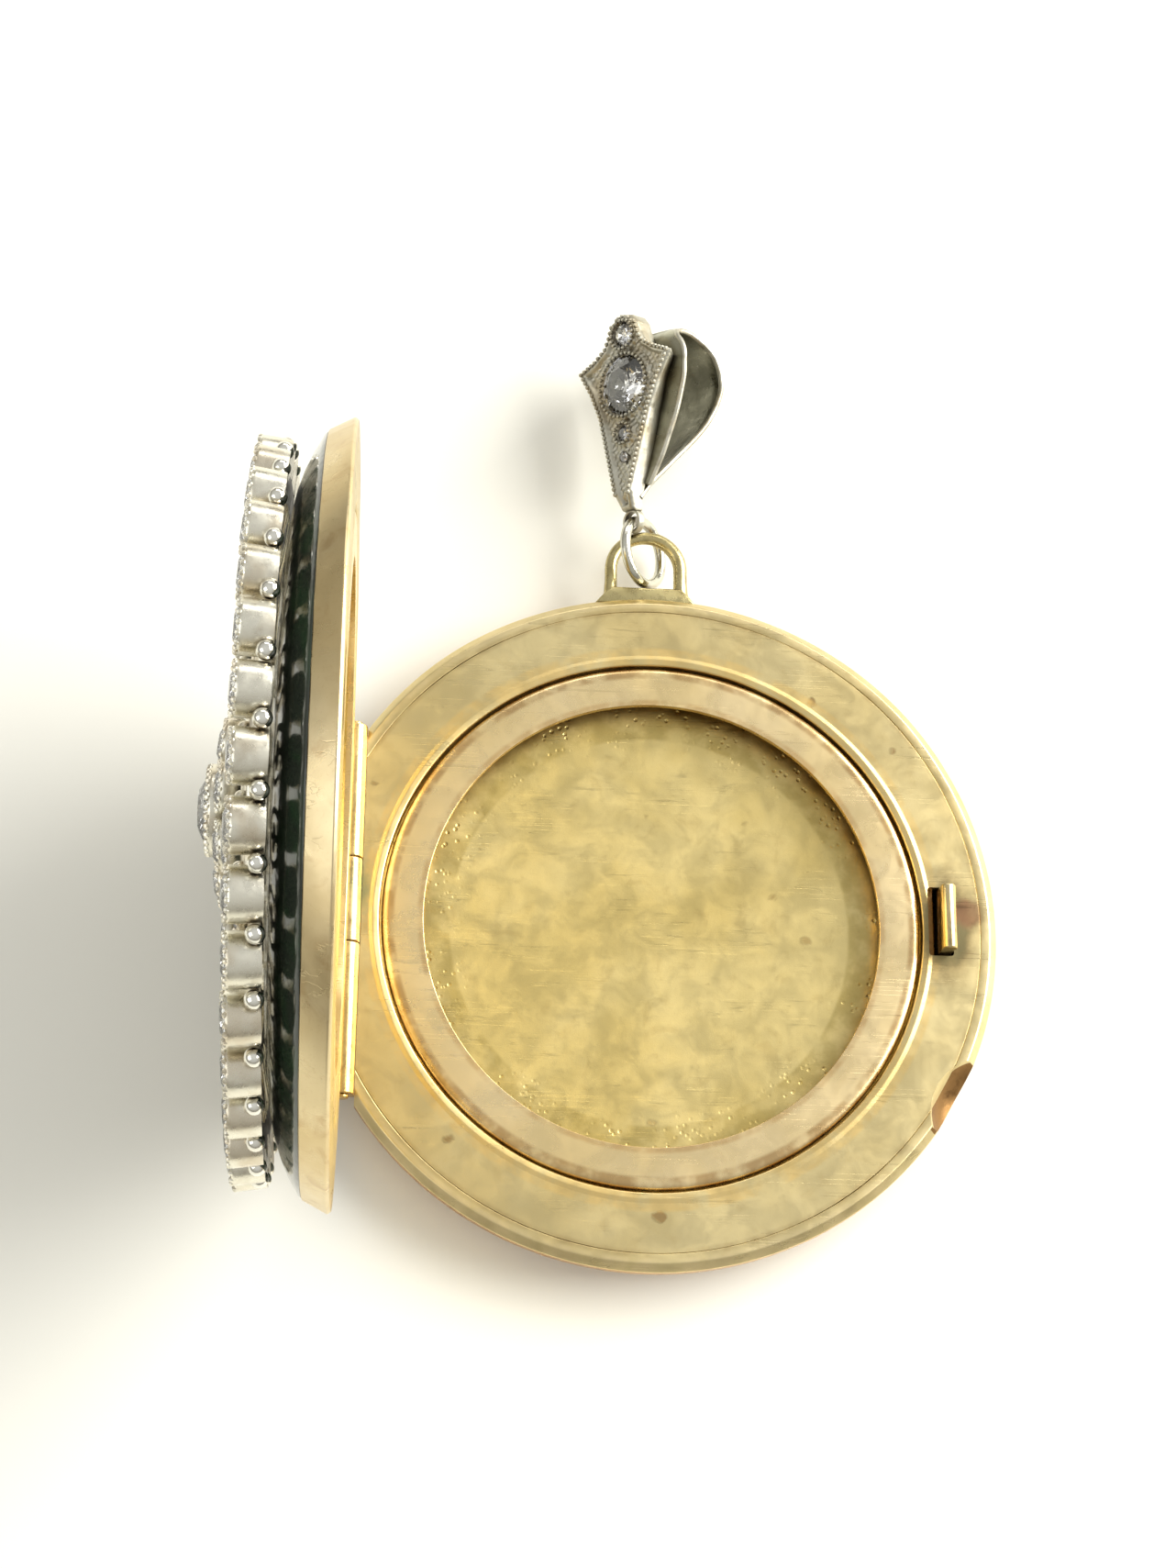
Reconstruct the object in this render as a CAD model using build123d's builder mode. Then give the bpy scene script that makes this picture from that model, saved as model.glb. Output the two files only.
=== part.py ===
from build123d import *
import os
from math import cos, sin, radians, atan2, degrees, sqrt

# Round hinged locket with an enamelled, stone-set front, open about 91 degrees.
# Millimetres.  Origin: centre of the back cover's flat outer face.  +Z up through
# the open back half, +Y towards the suspension loop, hinge along Y at the -X side.

os.makedirs("parts", exist_ok=True)

# ---- driving dimensions -------------------------------------------------------
R = 14.0              # radius of both halves at the parting plane
ZP = 2.6              # parting plane above the flat of the back
GAP = 0.05            # half of the gap between the closed halves
XH = -12.15           # hinge axis, x
CHORD = -11.65        # straight edge of the halves at the hinge, x
OPEN = 90.3           # opening angle of the lid as built
R_RIM = 13.3          # inside of the turned rim, where the flange ring sits
R_LIP = 10.95         # bore of the flange ring
R_WALL = 11.15        # outside of the photo pan's wall
R_RING_O = 10.80      # removable frame ring, outside
R_RING_I = 9.18       # removable frame ring, inside
T_FLANGE = 0.40
T_SHELL = 0.40
KN_R = 0.475          # hinge tube radius
PIN_R = 0.20          # hinge pin radius
KN_LOW, KN_MID0, KN_MID1, KN_UP = -7.45, -1.35, 2.10, 7.75   # tube ends along Y
LIFT = 0.25           # the panel's stand-off over its lowest position on the enamel
N_BORDER = 36         # settings round the panel border
R_BORDER = 12.35      # pitch radius of the border settings
LOOP_X, LOOP_Y, LOOP_Z = -0.30, 15.45, 1.93   # gold loop
LOOP_RO, LOOP_W = 1.75, 0.58
RING_R, RING_W = 1.375, 0.225                 # jump ring: major and wire radius
RING_TILT = 52.0
BAIL_ROLL = 52.0

ca, sa = cos(radians(OPEN)), sin(radians(OPEN))
# plane of the lid: local x = distance across from the locket's centre (towards the
# catch), local z = height above the parting plane, outwards
LID = Plane(origin=(XH - XH * ca, 0, ZP - XH * sa), x_dir=(ca, 0, sa), z_dir=(-sa, 0, ca))


def write(bp, name):
    bp.part.label = name
    export_step(bp.part, "parts/" + name + ".step")


def lid_xz():
    """Radial section plane of the lid: x = radius, y = height."""
    return Plane(origin=LID.origin, x_dir=LID.x_dir, z_dir=-LID.y_dir)


BACK_XZ = Plane.XZ
AX_LID = Axis(LID.origin, LID.z_dir)
E_LOW = 11.6          # radius of the back's flat face


# ---- back half ----------------------------------------------------------------
with BuildPart() as back_cavity:      # hollow of the back cover, stops short of the hinge wall
    with BuildSketch(BACK_XZ):
        with BuildLine():
            Polyline((0, T_SHELL), (E_LOW, T_SHELL))
            ThreePointArc((E_LOW, T_SHELL), (13.02, 0.86), (R - T_SHELL - 0.12, 1.62))
            Polyline((R - T_SHELL - 0.12, 1.62), (R_RIM - 0.45, 1.90), (R_RIM - 0.45, 2.30), (0, 2.30), (0, T_SHELL))
        make_face()
    revolve(axis=Axis.Z)
    split(bisect_by=Plane(origin=(CHORD + 0.30, 0, 0), x_dir=(0, 1, 0), z_dir=(1, 0, 0)), keep=Keep.TOP)

with BuildPart() as back_shell:
    with BuildSketch(BACK_XZ):
        with BuildLine():
            Polyline((0, 0), (E_LOW, 0))
            EllipticalCenterArc((E_LOW, 1.9), 2.4, 1.9, start_angle=270, arc_size=90)
            Polyline((R, 1.9), (R, ZP - 0.27), (R - 0.22, ZP - GAP), (R_RIM, ZP - GAP),
                     (R_RIM, ZP - GAP - T_FLANGE), (0, ZP - GAP - T_FLANGE), (0, 0))
        make_face()
    revolve(axis=Axis.Z)
    split(bisect_by=Plane(origin=(CHORD, 0, 0), x_dir=(0, 1, 0), z_dir=(1, 0, 0)), keep=Keep.TOP)
    add(back_cavity.part, mode=Mode.SUBTRACT)
    # thumb notch
    with Locations((15.34 * cos(radians(-29.5)), 15.34 * sin(radians(-29.5)), ZP - GAP + 1.5)):
        Sphere(2.78, mode=Mode.SUBTRACT)
write(back_shell, "back_shell")

with BuildPart() as back_flange:
    with BuildSketch(BACK_XZ):
        with BuildLine():
            Polyline((R_RIM, ZP - GAP - T_FLANGE), (R_RIM, ZP - GAP - 0.04), (R_RIM - 0.06, ZP - GAP),
                     (R_LIP + 0.34, ZP - GAP))
            ThreePointArc((R_LIP + 0.34, ZP - GAP), (R_LIP + 0.17, ZP - GAP + 0.04), (R_LIP, ZP - GAP - 0.10))
            Polyline((R_LIP, ZP - GAP - 0.10), (R_LIP, ZP - GAP - T_FLANGE), (R_RIM, ZP - GAP - T_FLANGE))
        make_face()
    revolve(axis=Axis.Z)
    split(bisect_by=Plane(origin=(CHORD, 0, 0), x_dir=(0, 1, 0), z_dir=(1, 0, 0)), keep=Keep.TOP)
    with BuildSketch(Plane.XY.offset(1.5)):      # slot for the catch
        with Locations((11.68, 0.36)):
            RectangleRounded(1.02, 2.86, 0.12)
    extrude(amount=2, mode=Mode.SUBTRACT)
    with Locations((15.34 * cos(radians(-29.5)), 15.34 * sin(radians(-29.5)), ZP - GAP + 1.5)):
        Sphere(2.78, mode=Mode.SUBTRACT)
write(back_flange, "back_flange")

with BuildPart() as back_floor:
    with BuildSketch(BACK_XZ):
        with BuildLine():
            Polyline((0, 1.20), (R_WALL - 0.3, 1.20), (R_WALL, 1.50), (R_WALL, ZP - GAP - T_FLANGE),
                     (R_LIP, ZP - GAP - T_FLANGE), (R_LIP, 1.58), (R_LIP - 0.13, 1.45), (0, 1.45), (0, 1.20))
        make_face()
    revolve(axis=Axis.Z)
write(back_floor, "back_floor")


def ring_section(z0, s):
    """Frame ring section: flat top with a rounded outer shoulder and a skirt (s = +1 up)."""
    top = [(R_RING_I, z0), (R_RING_O - 0.30, z0)]
    arc = [(R_RING_O - 0.30, z0), (R_RING_O - 0.08, z0 - s * 0.09), (R_RING_O, z0 - s * 0.30)]
    rest = [(R_RING_O, z0 - s * 0.30), (R_RING_O, z0 - s * 0.98), (R_RING_O - 0.32, z0 - s * 0.98),
            (R_RING_O - 0.32, z0 - s * 0.38), (R_RING_I + 0.10, z0 - s * 0.38),
            (R_RING_I, z0 - s * 0.24), (R_RING_I, z0)]
    return top, arc, rest


with BuildPart() as back_frame_ring:
    with BuildSketch(BACK_XZ):
        with BuildLine():
            top, arc, rest = ring_section(ZP - GAP, 1)
            Polyline(*top)
            ThreePointArc(*arc)
            Polyline(*rest)
        make_face()
    revolve(axis=Axis.Z)
write(back_frame_ring, "back_frame_ring")


def y_plane(y):
    """Plane facing +Y at the hinge axis: local x = row X, local y = row -Z."""
    return Plane(origin=(XH, y, ZP), x_dir=(1, 0, 0), z_dir=(0, 1, 0))


for nm, y0, y1 in (("back_knuckle_upper", KN_MID1 + 0.04, KN_UP), ("back_knuckle_lower", KN_LOW, KN_MID0 - 0.04)):
    with BuildPart() as knuckle:
        with BuildSketch(y_plane(y0)):
            Circle(KN_R)
            with Locations(((CHORD - XH) / 2, 0.28)):      # bearer soldered to the chord wall
                Rectangle(CHORD - XH, 0.34)
            Circle(PIN_R + 0.015, mode=Mode.SUBTRACT)
        extrude(amount=y1 - y0)
    write(knuckle, nm)

with BuildPart() as hinge_pin:
    with BuildSketch(y_plane(KN_LOW - 0.10)):
        Circle(PIN_R)
    extrude(amount=KN_UP - KN_LOW + 0.20)
    with BuildSketch(y_plane(KN_LOW - 0.16)):
        Circle(PIN_R + 0.08)
    extrude(amount=0.14)
    with BuildSketch(y_plane(KN_UP + 0.02)):
        Circle(PIN_R + 0.08)
    extrude(amount=0.14)
write(hinge_pin, "hinge_pin")

with BuildPart() as catch_tongue:
    with BuildSketch(Plane(origin=(0, -0.98, 0), x_dir=(1, 0, 0), z_dir=(0, -1, 0))):
        with BuildLine():
            Polyline((11.58, 0.46), (12.40, 0.46), (12.40, 0.72), (12.10, 0.72), (12.10, 3.05), (12.17, 3.16),
                     (12.17, 3.28), (12.02, 3.56), (11.66, 3.56), (11.58, 3.42), (11.58, 0.46))
        make_face()
    extrude(amount=-2.67)
write(catch_tongue, "catch_tongue")

with BuildPart() as top_loop:
    with BuildSketch(Plane.XY.offset(LOOP_Z - LOOP_W / 2)):
        with Locations((LOOP_X, LOOP_Y)):
            Circle(LOOP_RO)
        with BuildLine():
            Polyline((LOOP_X - LOOP_RO, LOOP_Y), (LOOP_X - LOOP_RO, 14.35), (LOOP_X - LOOP_RO - 0.42, 13.0),
                     (LOOP_X + LOOP_RO + 0.42, 13.0), (LOOP_X + LOOP_RO, 14.35), (LOOP_X + LOOP_RO, LOOP_Y),
                     (LOOP_X - LOOP_RO, LOOP_Y))
        make_face()
        with Locations((LOOP_X, LOOP_Y)):
            Circle(LOOP_RO - LOOP_W, mode=Mode.SUBTRACT)
        with Locations((LOOP_X, (LOOP_Y + 14.53) / 2)):
            Rectangle(2 * (LOOP_RO - LOOP_W), LOOP_Y - 14.53, mode=Mode.SUBTRACT)
    extrude(amount=LOOP_W)
    edges_r = top_loop.edges().filter_by(Plane.XY).filter_by(lambda e: e.center().Y > 14.36 and e.geom_type == GeomType.CIRCLE)
    fillet(edges_r, 0.27)
    with BuildSketch(Plane.XY):      # ends on the outer wall of the rim
        Circle(R)
    extrude(amount=4, mode=Mode.SUBTRACT)
write(top_loop, "top_loop")

# ---- suspension -----------------------------------------------------------------
ring_c = Vector(LOOP_X - 0.10, 16.25, LOOP_Z)
ct, st = cos(radians(RING_TILT)), sin(radians(RING_TILT))
RING = Plane(origin=ring_c, x_dir=(0, 1, 0), z_dir=(st, 0, ct))
with BuildPart() as jump_ring:
    with BuildSketch(Plane(origin=ring_c + Vector(0, RING_R, 0), x_dir=(0, 1, 0), z_dir=(-ct, 0, st))):
        Circle(RING_W)
    revolve(axis=Axis(ring_c, RING.z_dir))
write(jump_ring, "jump_ring")

# bail frame: y along its length from the eye, x across, z out of the front
ALPHA = 33.0
eye = ring_c + Vector(-RING_R * sin(radians(ALPHA)) * ct, RING_R * cos(radians(ALPHA)), RING_R * sin(radians(ALPHA)) * st)
L_DIR = Vector(-0.0695, 0.9770, 0.2030).normalized()
W0 = Vector(cos(radians(BAIL_ROLL)), 0, sin(radians(BAIL_ROLL)))
W_DIR = (W0 - L_DIR * W0.dot(L_DIR)).normalized()
BAIL = Plane(origin=eye, x_dir=W_DIR, z_dir=W_DIR.cross(L_DIR))
BAIL_SIDE = Plane(origin=eye, x_dir=BAIL.y_dir, z_dir=BAIL.x_dir)   # x = length, y = front


STRAP_T = 0.28
with BuildPart() as bail_strap:
    with BuildSketch(BAIL_SIDE.offset(-2.2)):
        with BuildLine():
            Spline((0.9, 0.10), (1.9, -1.15), (3.9, -3.25), (5.9, -4.02), (7.6, -3.45), (8.35, -2.1), (8.0, -0.72),
                   tangents=[(0.15, -1), (-0.25, 1)])
            Polyline((8.0, -0.72), (5.0, -0.58), (0.9, 0.10))
        make_face()
        with BuildLine():
            Spline((1.95, -0.62), (2.35, -1.15), (4.1, -2.92), (5.9, -3.71), (7.35, -3.22), (8.02, -2.1), (7.70, -1.02),
                   tangents=[(0.3, -1), (-0.25, 1)])
            Polyline((7.70, -1.02), (5.0, -0.90), (1.95, -0.62))
        make_face(mode=Mode.SUBTRACT)
    extrude(amount=4.4)
    with BuildSketch(BAIL.offset(-6)):
        with BuildLine():
            Polyline((-0.42, 0.5), (0.42, 0.5), (0.75, 2.5), (1.60, 5.6), (1.70, 7.2), (1.35, 9.2),
                     (-1.35, 9.2), (-1.70, 7.2), (-1.60, 5.6), (-0.75, 2.5), (-0.42, 0.5))
        make_face()
    extrude(amount=8, mode=Mode.INTERSECT)
write(bail_strap, "bail_strap")

PLATE_T = 0.62
with BuildPart() as bail_plate:
    with BuildSketch(BAIL_SIDE.offset(-3)):
        with BuildLine():
            Polyline((0.30, 0.24), (0.30, -0.22), (0.86, -0.22), (0.88, 0.12), (5.0, -0.56), (8.0, -0.70), (9.9, -0.70),
                     (9.9, 0.10), (8.0, 0.10), (5.0, 0.22), (1.2, 0.62), (0.30, 0.24))
        make_face()
    extrude(amount=6)
    with BuildSketch(BAIL.offset(-3)):
        with BuildLine():
            Polyline((-0.34, 0.30), (0.34, 0.30), (0.62, 1.6), (1.55, 4.6), (2.70, 6.75), (1.55, 7.35), (0.85, 7.75),
                     (-0.85, 7.75), (-1.55, 7.35), (-2.70, 6.75), (-1.55, 4.6), (-0.62, 1.6), (-0.34, 0.30))
        make_face()
        with Locations((0, 8.05)):
            Circle(0.92)
    extrude(amount=6, mode=Mode.INTERSECT)
    with BuildSketch(BAIL.offset(-0.21)):       # eye for the jump ring
        Circle(0.53)
    extrude(amount=0.42)
    with BuildSketch(BAIL.offset(-1)):
        Circle(0.375)
    extrude(amount=2, mode=Mode.SUBTRACT)
    for yy, rr, dd in ((5.85, 1.32, 0.62), (8.05, 0.56, 0.45), (3.75, 0.40, 0.32), (2.75, 0.28, 0.25)):
        zf = 0.10 if yy > 8 else (0.22 - (yy - 5.0) * 0.04 if yy > 5 else 0.22 + (5.0 - yy) * 0.105)
        with Locations(BAIL.offset(zf)):
            with Locations((0, yy)):
                Cone(0.02 + rr * 0.3, rr + 0.012, dd, align=(Align.CENTER, Align.CENTER, Align.MAX), mode=Mode.SUBTRACT)
                Cylinder(rr + 0.012, 1.5, align=(Align.CENTER, Align.CENTER, Align.MIN), mode=Mode.SUBTRACT)
write(bail_plate, "bail_plate")


def stone_profile(r, depth, crown):
    """Half section of a round stone: pavilion below the girdle, crown and table above."""
    return [(0, -depth), (r, 0), (r, 0.05), (r * 0.56, 0.05 + crown), (0, 0.05 + crown), (0, -depth)]


with BuildPart() as bail_large_diamond:
    with BuildSketch(Plane(origin=BAIL.from_local_coords((0, 5.85, 0.19)), x_dir=BAIL.x_dir, z_dir=-BAIL.y_dir)):
        with BuildLine():
            Polyline(*stone_profile(1.30, 0.50, 0.36))
        make_face()
    revolve(axis=Axis(BAIL.from_local_coords((0, 5.85, 0.19)), BAIL.z_dir))
write(bail_large_diamond, "bail_large_diamond")

with BuildPart() as bail_small_diamonds:
    for yy, rr, zf in ((8.05, 0.54, 0.10), (3.75, 0.38, 0.351), (2.75, 0.26, 0.456)):
        o = BAIL.from_local_coords((0, yy, zf))
        with BuildSketch(Plane(origin=o, x_dir=BAIL.x_dir, z_dir=-BAIL.y_dir)):
            with BuildLine():
                Polyline(*stone_profile(rr, 0.4 * rr, 0.15 + 0.12 * rr))
            make_face()
        revolve(axis=Axis(o, BAIL.z_dir))
write(bail_small_diamonds, "bail_small_diamonds")

# ---- lid ------------------------------------------------------------------------
# local x of the hinge axis in the lid's frame is XH, the chord is at CHORD
NOTCH_H = 0.62        # the rim is cut away this high over the hinge tubes


with BuildPart() as lid_shell:
    with BuildSketch(lid_xz()):
        with BuildLine():
            Polyline((R_RIM, GAP), (R - 0.12, GAP), (R, GAP + 0.14), (13.54, 1.05), (13.12, 1.05), (13.12, 0.92))
            ThreePointArc((13.12, 0.92), (11.35, 1.74), (9.0, 2.08))
            ThreePointArc((9.0, 2.08), (4.6, 2.30), (0, 2.37))
            Polyline((0, 2.37), (0, 2.02))
            ThreePointArc((0, 2.02), (4.5, 1.96), (8.95, 1.72))
            ThreePointArc((8.95, 1.72), (11.15, 1.42), (12.75, 0.72))
            Polyline((12.75, 0.72), (R_RIM - 0.45, 0.70), (R_RIM - 0.45, GAP + T_FLANGE), (R_RIM, GAP + T_FLANGE), (R_RIM, GAP))
        make_face()
    revolve(axis=AX_LID)
    with BuildSketch(LID.offset(-0.5)):      # room for the hinge tubes
        with Locations(((CHORD - 15) / 2, 0)):
            Rectangle(CHORD + 15, 17)
    extrude(amount=NOTCH_H + 0.5, mode=Mode.SUBTRACT)
    with BuildSketch(LID.offset(GAP)):      # wall that closes the rim at the hinge
        with Locations((CHORD + 0.15, 0)):
            Rectangle(0.30, 13.5)
    extrude(amount=1.0)
    with BuildSketch(LID):                  # holes for the panel's pins
        with PolarLocations(6.0, 4, start_angle=45):
            Circle(0.32)
    extrude(amount=3, mode=Mode.SUBTRACT)
write(lid_shell, "lid_shell")

with BuildPart() as lid_enamel:
    with BuildSketch(lid_xz()):
        with BuildLine():
            Polyline((13.12, 1.05), (13.12, 0.92))
            ThreePointArc((13.12, 0.92), (11.35, 1.74), (9.0, 2.08))
            ThreePointArc((9.0, 2.08), (4.6, 2.30), (0, 2.37))
            Polyline((0, 2.37), (0, 2.70))
            ThreePointArc((0, 2.70), (4.6, 2.64), (9.0, 2.42))
            ThreePointArc((9.0, 2.42), (11.60, 2.01), (13.46, 1.05))
            Polyline((13.46, 1.05), (13.12, 1.05))
        make_face()
    revolve(axis=AX_LID)
    with BuildSketch(LID):
        with PolarLocations(6.0, 4, start_angle=45):
            Circle(0.32)
    extrude(amount=4, mode=Mode.SUBTRACT)
write(lid_enamel, "lid_enamel")

with BuildPart() as lid_flange:
    with BuildSketch(lid_xz()):
        with BuildLine():
            Polyline((R_RIM, GAP + T_FLANGE), (R_RIM, GAP + 0.04), (R_RIM - 0.06, GAP), (R_LIP + 0.34, GAP))
            Polyline((R_LIP + 0.34, GAP), (R_LIP + 0.08, GAP), (R_LIP, GAP + 0.08), (R_LIP, GAP + T_FLANGE),
                     (R_RIM, GAP + T_FLANGE))
        make_face()
    revolve(axis=AX_LID)
    with BuildSketch(LID.offset(-0.5)):
        with Locations(((CHORD + 0.30 - 15) / 2, 0)):
            Rectangle(CHORD + 0.30 + 15, 17)
    extrude(amount=1.5, mode=Mode.SUBTRACT)
    with BuildSketch(LID.offset(-0.5)):      # keeper slot for the catch
        with Locations((11.82, 0.36)):
            RectangleRounded(1.05, 3.0, 0.12)
    extrude(amount=1.5, mode=Mode.SUBTRACT)
write(lid_flange, "lid_flange")

with BuildPart() as lid_floor:
    with BuildSketch(lid_xz()):
        with BuildLine():
            Polyline((0, 1.40), (R_WALL - 0.3, 1.40), (R_WALL, 1.12), (R_WALL, GAP + T_FLANGE),
                     (R_LIP, GAP + T_FLANGE), (R_LIP, 1.02), (R_LIP - 0.13, 1.15), (0, 1.15), (0, 1.40))
        make_face()
    revolve(axis=AX_LID)
write(lid_floor, "lid_floor")

with BuildPart() as lid_frame_ring:
    with BuildSketch(lid_xz()):
        with BuildLine():
            top, arc, rest = ring_section(GAP, -1)
            Polyline(*top)
            ThreePointArc(*arc)
            Polyline(*rest)
        make_face()
    revolve(axis=AX_LID)
write(lid_frame_ring, "lid_frame_ring")

with BuildPart() as lid_knuckle:
    with BuildSketch(y_plane(KN_MID0)):
        Circle(KN_R)
        # bearer to the lid's chord wall, turned with the lid
        with BuildLine():
            def tl(x, h):
                # closed-lid (x from axis, height) to sketch coordinates at the built angle
                X, Z = x * ca - h * sa, x * sa + h * ca
                return (X, -Z)
            Polyline(tl(0, 0.12), tl(0.5, 0.12), tl(0.5, 0.45), tl(0, 0.45), tl(0, 0.12))
        make_face()
        Circle(PIN_R + 0.04, mode=Mode.SUBTRACT)
    extrude(amount=KN_MID1 - KN_MID0)
write(lid_knuckle, "lid_knuckle")

# small stones of the plate, between the piercings: (pitch radius, count, first angle, radius, height of the girdle)
FIELD = ((6.4, 12, 0, 0.60, 3.24), (9.2, 24, 7.5, 0.40, 2.96))
DECK = LID.offset(LIFT)      # the lid's frame moved out to the panel
field = []
for rad, n, a0, r, h in FIELD:
    for k in range(n):
        a = radians(a0 + 360.0 / n * k)
        o = DECK.from_local_coords((rad * cos(a), rad * sin(a), h))
        with BuildPart() as f1:
            with BuildSketch(Plane(origin=o, x_dir=LID.x_dir, z_dir=LID.z_dir)):
                Circle(r)
            extrude(amount=0.30, taper=30)
        field.append(f1.part)
fd = Part() + field
fd.label = "field_diamonds"
export_step(fd, "parts/field_diamonds.step")

# panel: domed, pierced plate standing off the enamel
seam = radians(26)      # the section's start, clear of every piercing
seam_x = Vector(LID.x_dir) * cos(seam) + Vector(LID.y_dir) * sin(seam)
seam_y = Vector(LID.y_dir) * cos(seam) - Vector(LID.x_dir) * sin(seam)
with BuildPart() as panel_plate:
    with BuildSketch(Plane(origin=DECK.origin, x_dir=seam_x, z_dir=-seam_y)):
        with BuildLine():
            Polyline((13.05, 2.12), (13.05, 2.38), (11.6, 2.38), (11.2, 2.52), (9.0, 2.90), (6.0, 3.20), (3.0, 3.38), (0, 3.42),
                     (0, 3.06), (3.0, 3.00), (6.0, 2.84), (9.0, 2.56), (11.5, 2.14), (13.05, 2.12))
        make_face()
    revolve(axis=AX_LID)
    # piercings: pitch radius, count, first angle, length, width
    for rad, n, a0, length, wide in ((10.1, 24, 0, 1.6, 0.8), (7.5, 12, 15, 2.0, 1.2), (4.5, 12, 15, 1.9, 0.8)):
        with BuildSketch(DECK.offset(1)):
            with PolarLocations(rad, n, start_angle=a0):
                SlotOverall(length, wide)
        extrude(amount=4, mode=Mode.SUBTRACT)
write(panel_plate, "panel_plate")

with BuildPart() as border_collets:
    with BuildSketch(DECK.offset(2.38)):
        with PolarLocations(R_BORDER, N_BORDER):
            Circle(0.74)
    extrude(amount=0.82, taper=4)
    with BuildSketch(DECK.offset(2.70)):
        with PolarLocations(R_BORDER, N_BORDER):
            Circle(0.50)
    extrude(amount=1.0, mode=Mode.SUBTRACT)
write(border_collets, "border_collets")

with BuildPart() as border_diamonds:
    with PolarLocations(R_BORDER, N_BORDER):
        pass
    base = DECK.from_local_coords((R_BORDER, 0, 2.98))
    with BuildSketch(Plane(origin=base, x_dir=LID.x_dir, z_dir=-LID.y_dir)):
        with BuildLine():
            Polyline(*stone_profile(0.485, 0.26, 0.14))
        make_face()
    revolve(axis=Axis(base, LID.z_dir))
one = border_diamonds.part
diamonds = Part() + [one.rotate(AX_LID, 360.0 / N_BORDER * k) for k in range(N_BORDER)]
diamonds.label = "border_diamonds"
export_step(diamonds, "parts/border_diamonds.step")

with BuildPart() as border_beads:
    with BuildSketch(DECK.offset(2.38)):
        with PolarLocations(R_BORDER + 0.36, N_BORDER, start_angle=180.0 / N_BORDER):
            Circle(0.27)
    extrude(amount=0.56)
    fillet(border_beads.edges().filter_by(GeomType.CIRCLE).sort_by(Axis(LID.origin, LID.z_dir))[-N_BORDER:], 0.24)
write(border_beads, "border_beads")

# raised cluster: a centre collet with eight round it
with BuildPart() as cluster_collets:
    with BuildSketch(DECK.offset(3.43)):
        Circle(1.62)
        Circle(1.30, mode=Mode.SUBTRACT)
    extrude(amount=1.15)
    with BuildSketch(DECK.offset(3.43)):
        with PolarLocations(2.62, 8):
            Circle(0.90)
            Circle(0.66, mode=Mode.SUBTRACT)
    extrude(amount=0.76)
write(cluster_collets, "cluster_collets")

one_c = None
with BuildPart() as cluster_diamonds:
    o = DECK.from_local_coords((0, 0, 4.42))
    with BuildSketch(Plane(origin=o, x_dir=LID.x_dir, z_dir=-LID.y_dir)):
        with BuildLine():
            Polyline(*stone_profile(1.28, 0.62, 0.30))
        make_face()
    revolve(axis=Axis(o, LID.z_dir))
with BuildPart() as cluster_small:
    o = DECK.from_local_coords((2.62, 0, 4.06))
    with BuildSketch(Plane(origin=o, x_dir=LID.x_dir, z_dir=-LID.y_dir)):
        with BuildLine():
            Polyline(*stone_profile(0.64, 0.34, 0.18))
        make_face()
    revolve(axis=Axis(o, LID.z_dir))
cl = Part() + [cluster_diamonds.part] + [cluster_small.part.rotate(AX_LID, 45.0 * k) for k in range(8)]
cl.label = "cluster_diamonds"
export_step(cl, "parts/cluster_diamonds.step")

with BuildPart() as panel_pins:
    with BuildSketch(LID.offset(1.62)):
        with PolarLocations(6.0, 4, start_angle=45):
            Circle(0.55)
    extrude(amount=0.22)
    with BuildSketch(LID.offset(1.70)):
        with PolarLocations(6.0, 4, start_angle=45):
            Circle(0.30)
    extrude(amount=1.13 + LIFT)
write(panel_pins, "panel_pins")
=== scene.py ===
import math
from math import cos, sin, radians, pi, sqrt, atan2, degrees

import bpy
import bmesh
import numpy as np
from mathutils import Matrix, Vector, noise


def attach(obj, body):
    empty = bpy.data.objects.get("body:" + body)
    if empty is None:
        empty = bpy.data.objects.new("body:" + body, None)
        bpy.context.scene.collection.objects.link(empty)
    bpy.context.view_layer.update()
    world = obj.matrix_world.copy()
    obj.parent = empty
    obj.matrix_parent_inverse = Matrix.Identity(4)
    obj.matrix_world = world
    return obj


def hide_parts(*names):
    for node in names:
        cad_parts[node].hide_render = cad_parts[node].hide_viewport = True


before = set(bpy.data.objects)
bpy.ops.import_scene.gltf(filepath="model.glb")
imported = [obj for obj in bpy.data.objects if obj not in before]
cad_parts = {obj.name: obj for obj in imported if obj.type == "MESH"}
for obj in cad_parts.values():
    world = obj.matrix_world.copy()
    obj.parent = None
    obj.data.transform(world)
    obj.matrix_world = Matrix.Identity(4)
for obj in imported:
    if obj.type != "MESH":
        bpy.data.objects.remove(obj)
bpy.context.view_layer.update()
S = 0.001          # every number below is in millimetres unless it says otherwise

# ---------------------------------------------------------------- dimensions (as in the CAD)
R, ZP, GAP = 14.0, 2.6, 0.05
XH, CHORD, OPEN = -12.15, -11.65, 90.3
R_RIM, R_LIP, R_WALL, RO, RI = 13.3, 10.95, 11.15, 10.80, 9.18
ca, sa = cos(radians(OPEN)), sin(radians(OPEN))


def mat(o, x, y, z):
    m = Matrix.Identity(4)
    for c, v in enumerate((x, y, z, o)):
        for r in range(3):
            m[r][c] = v[r]
    return m


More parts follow.
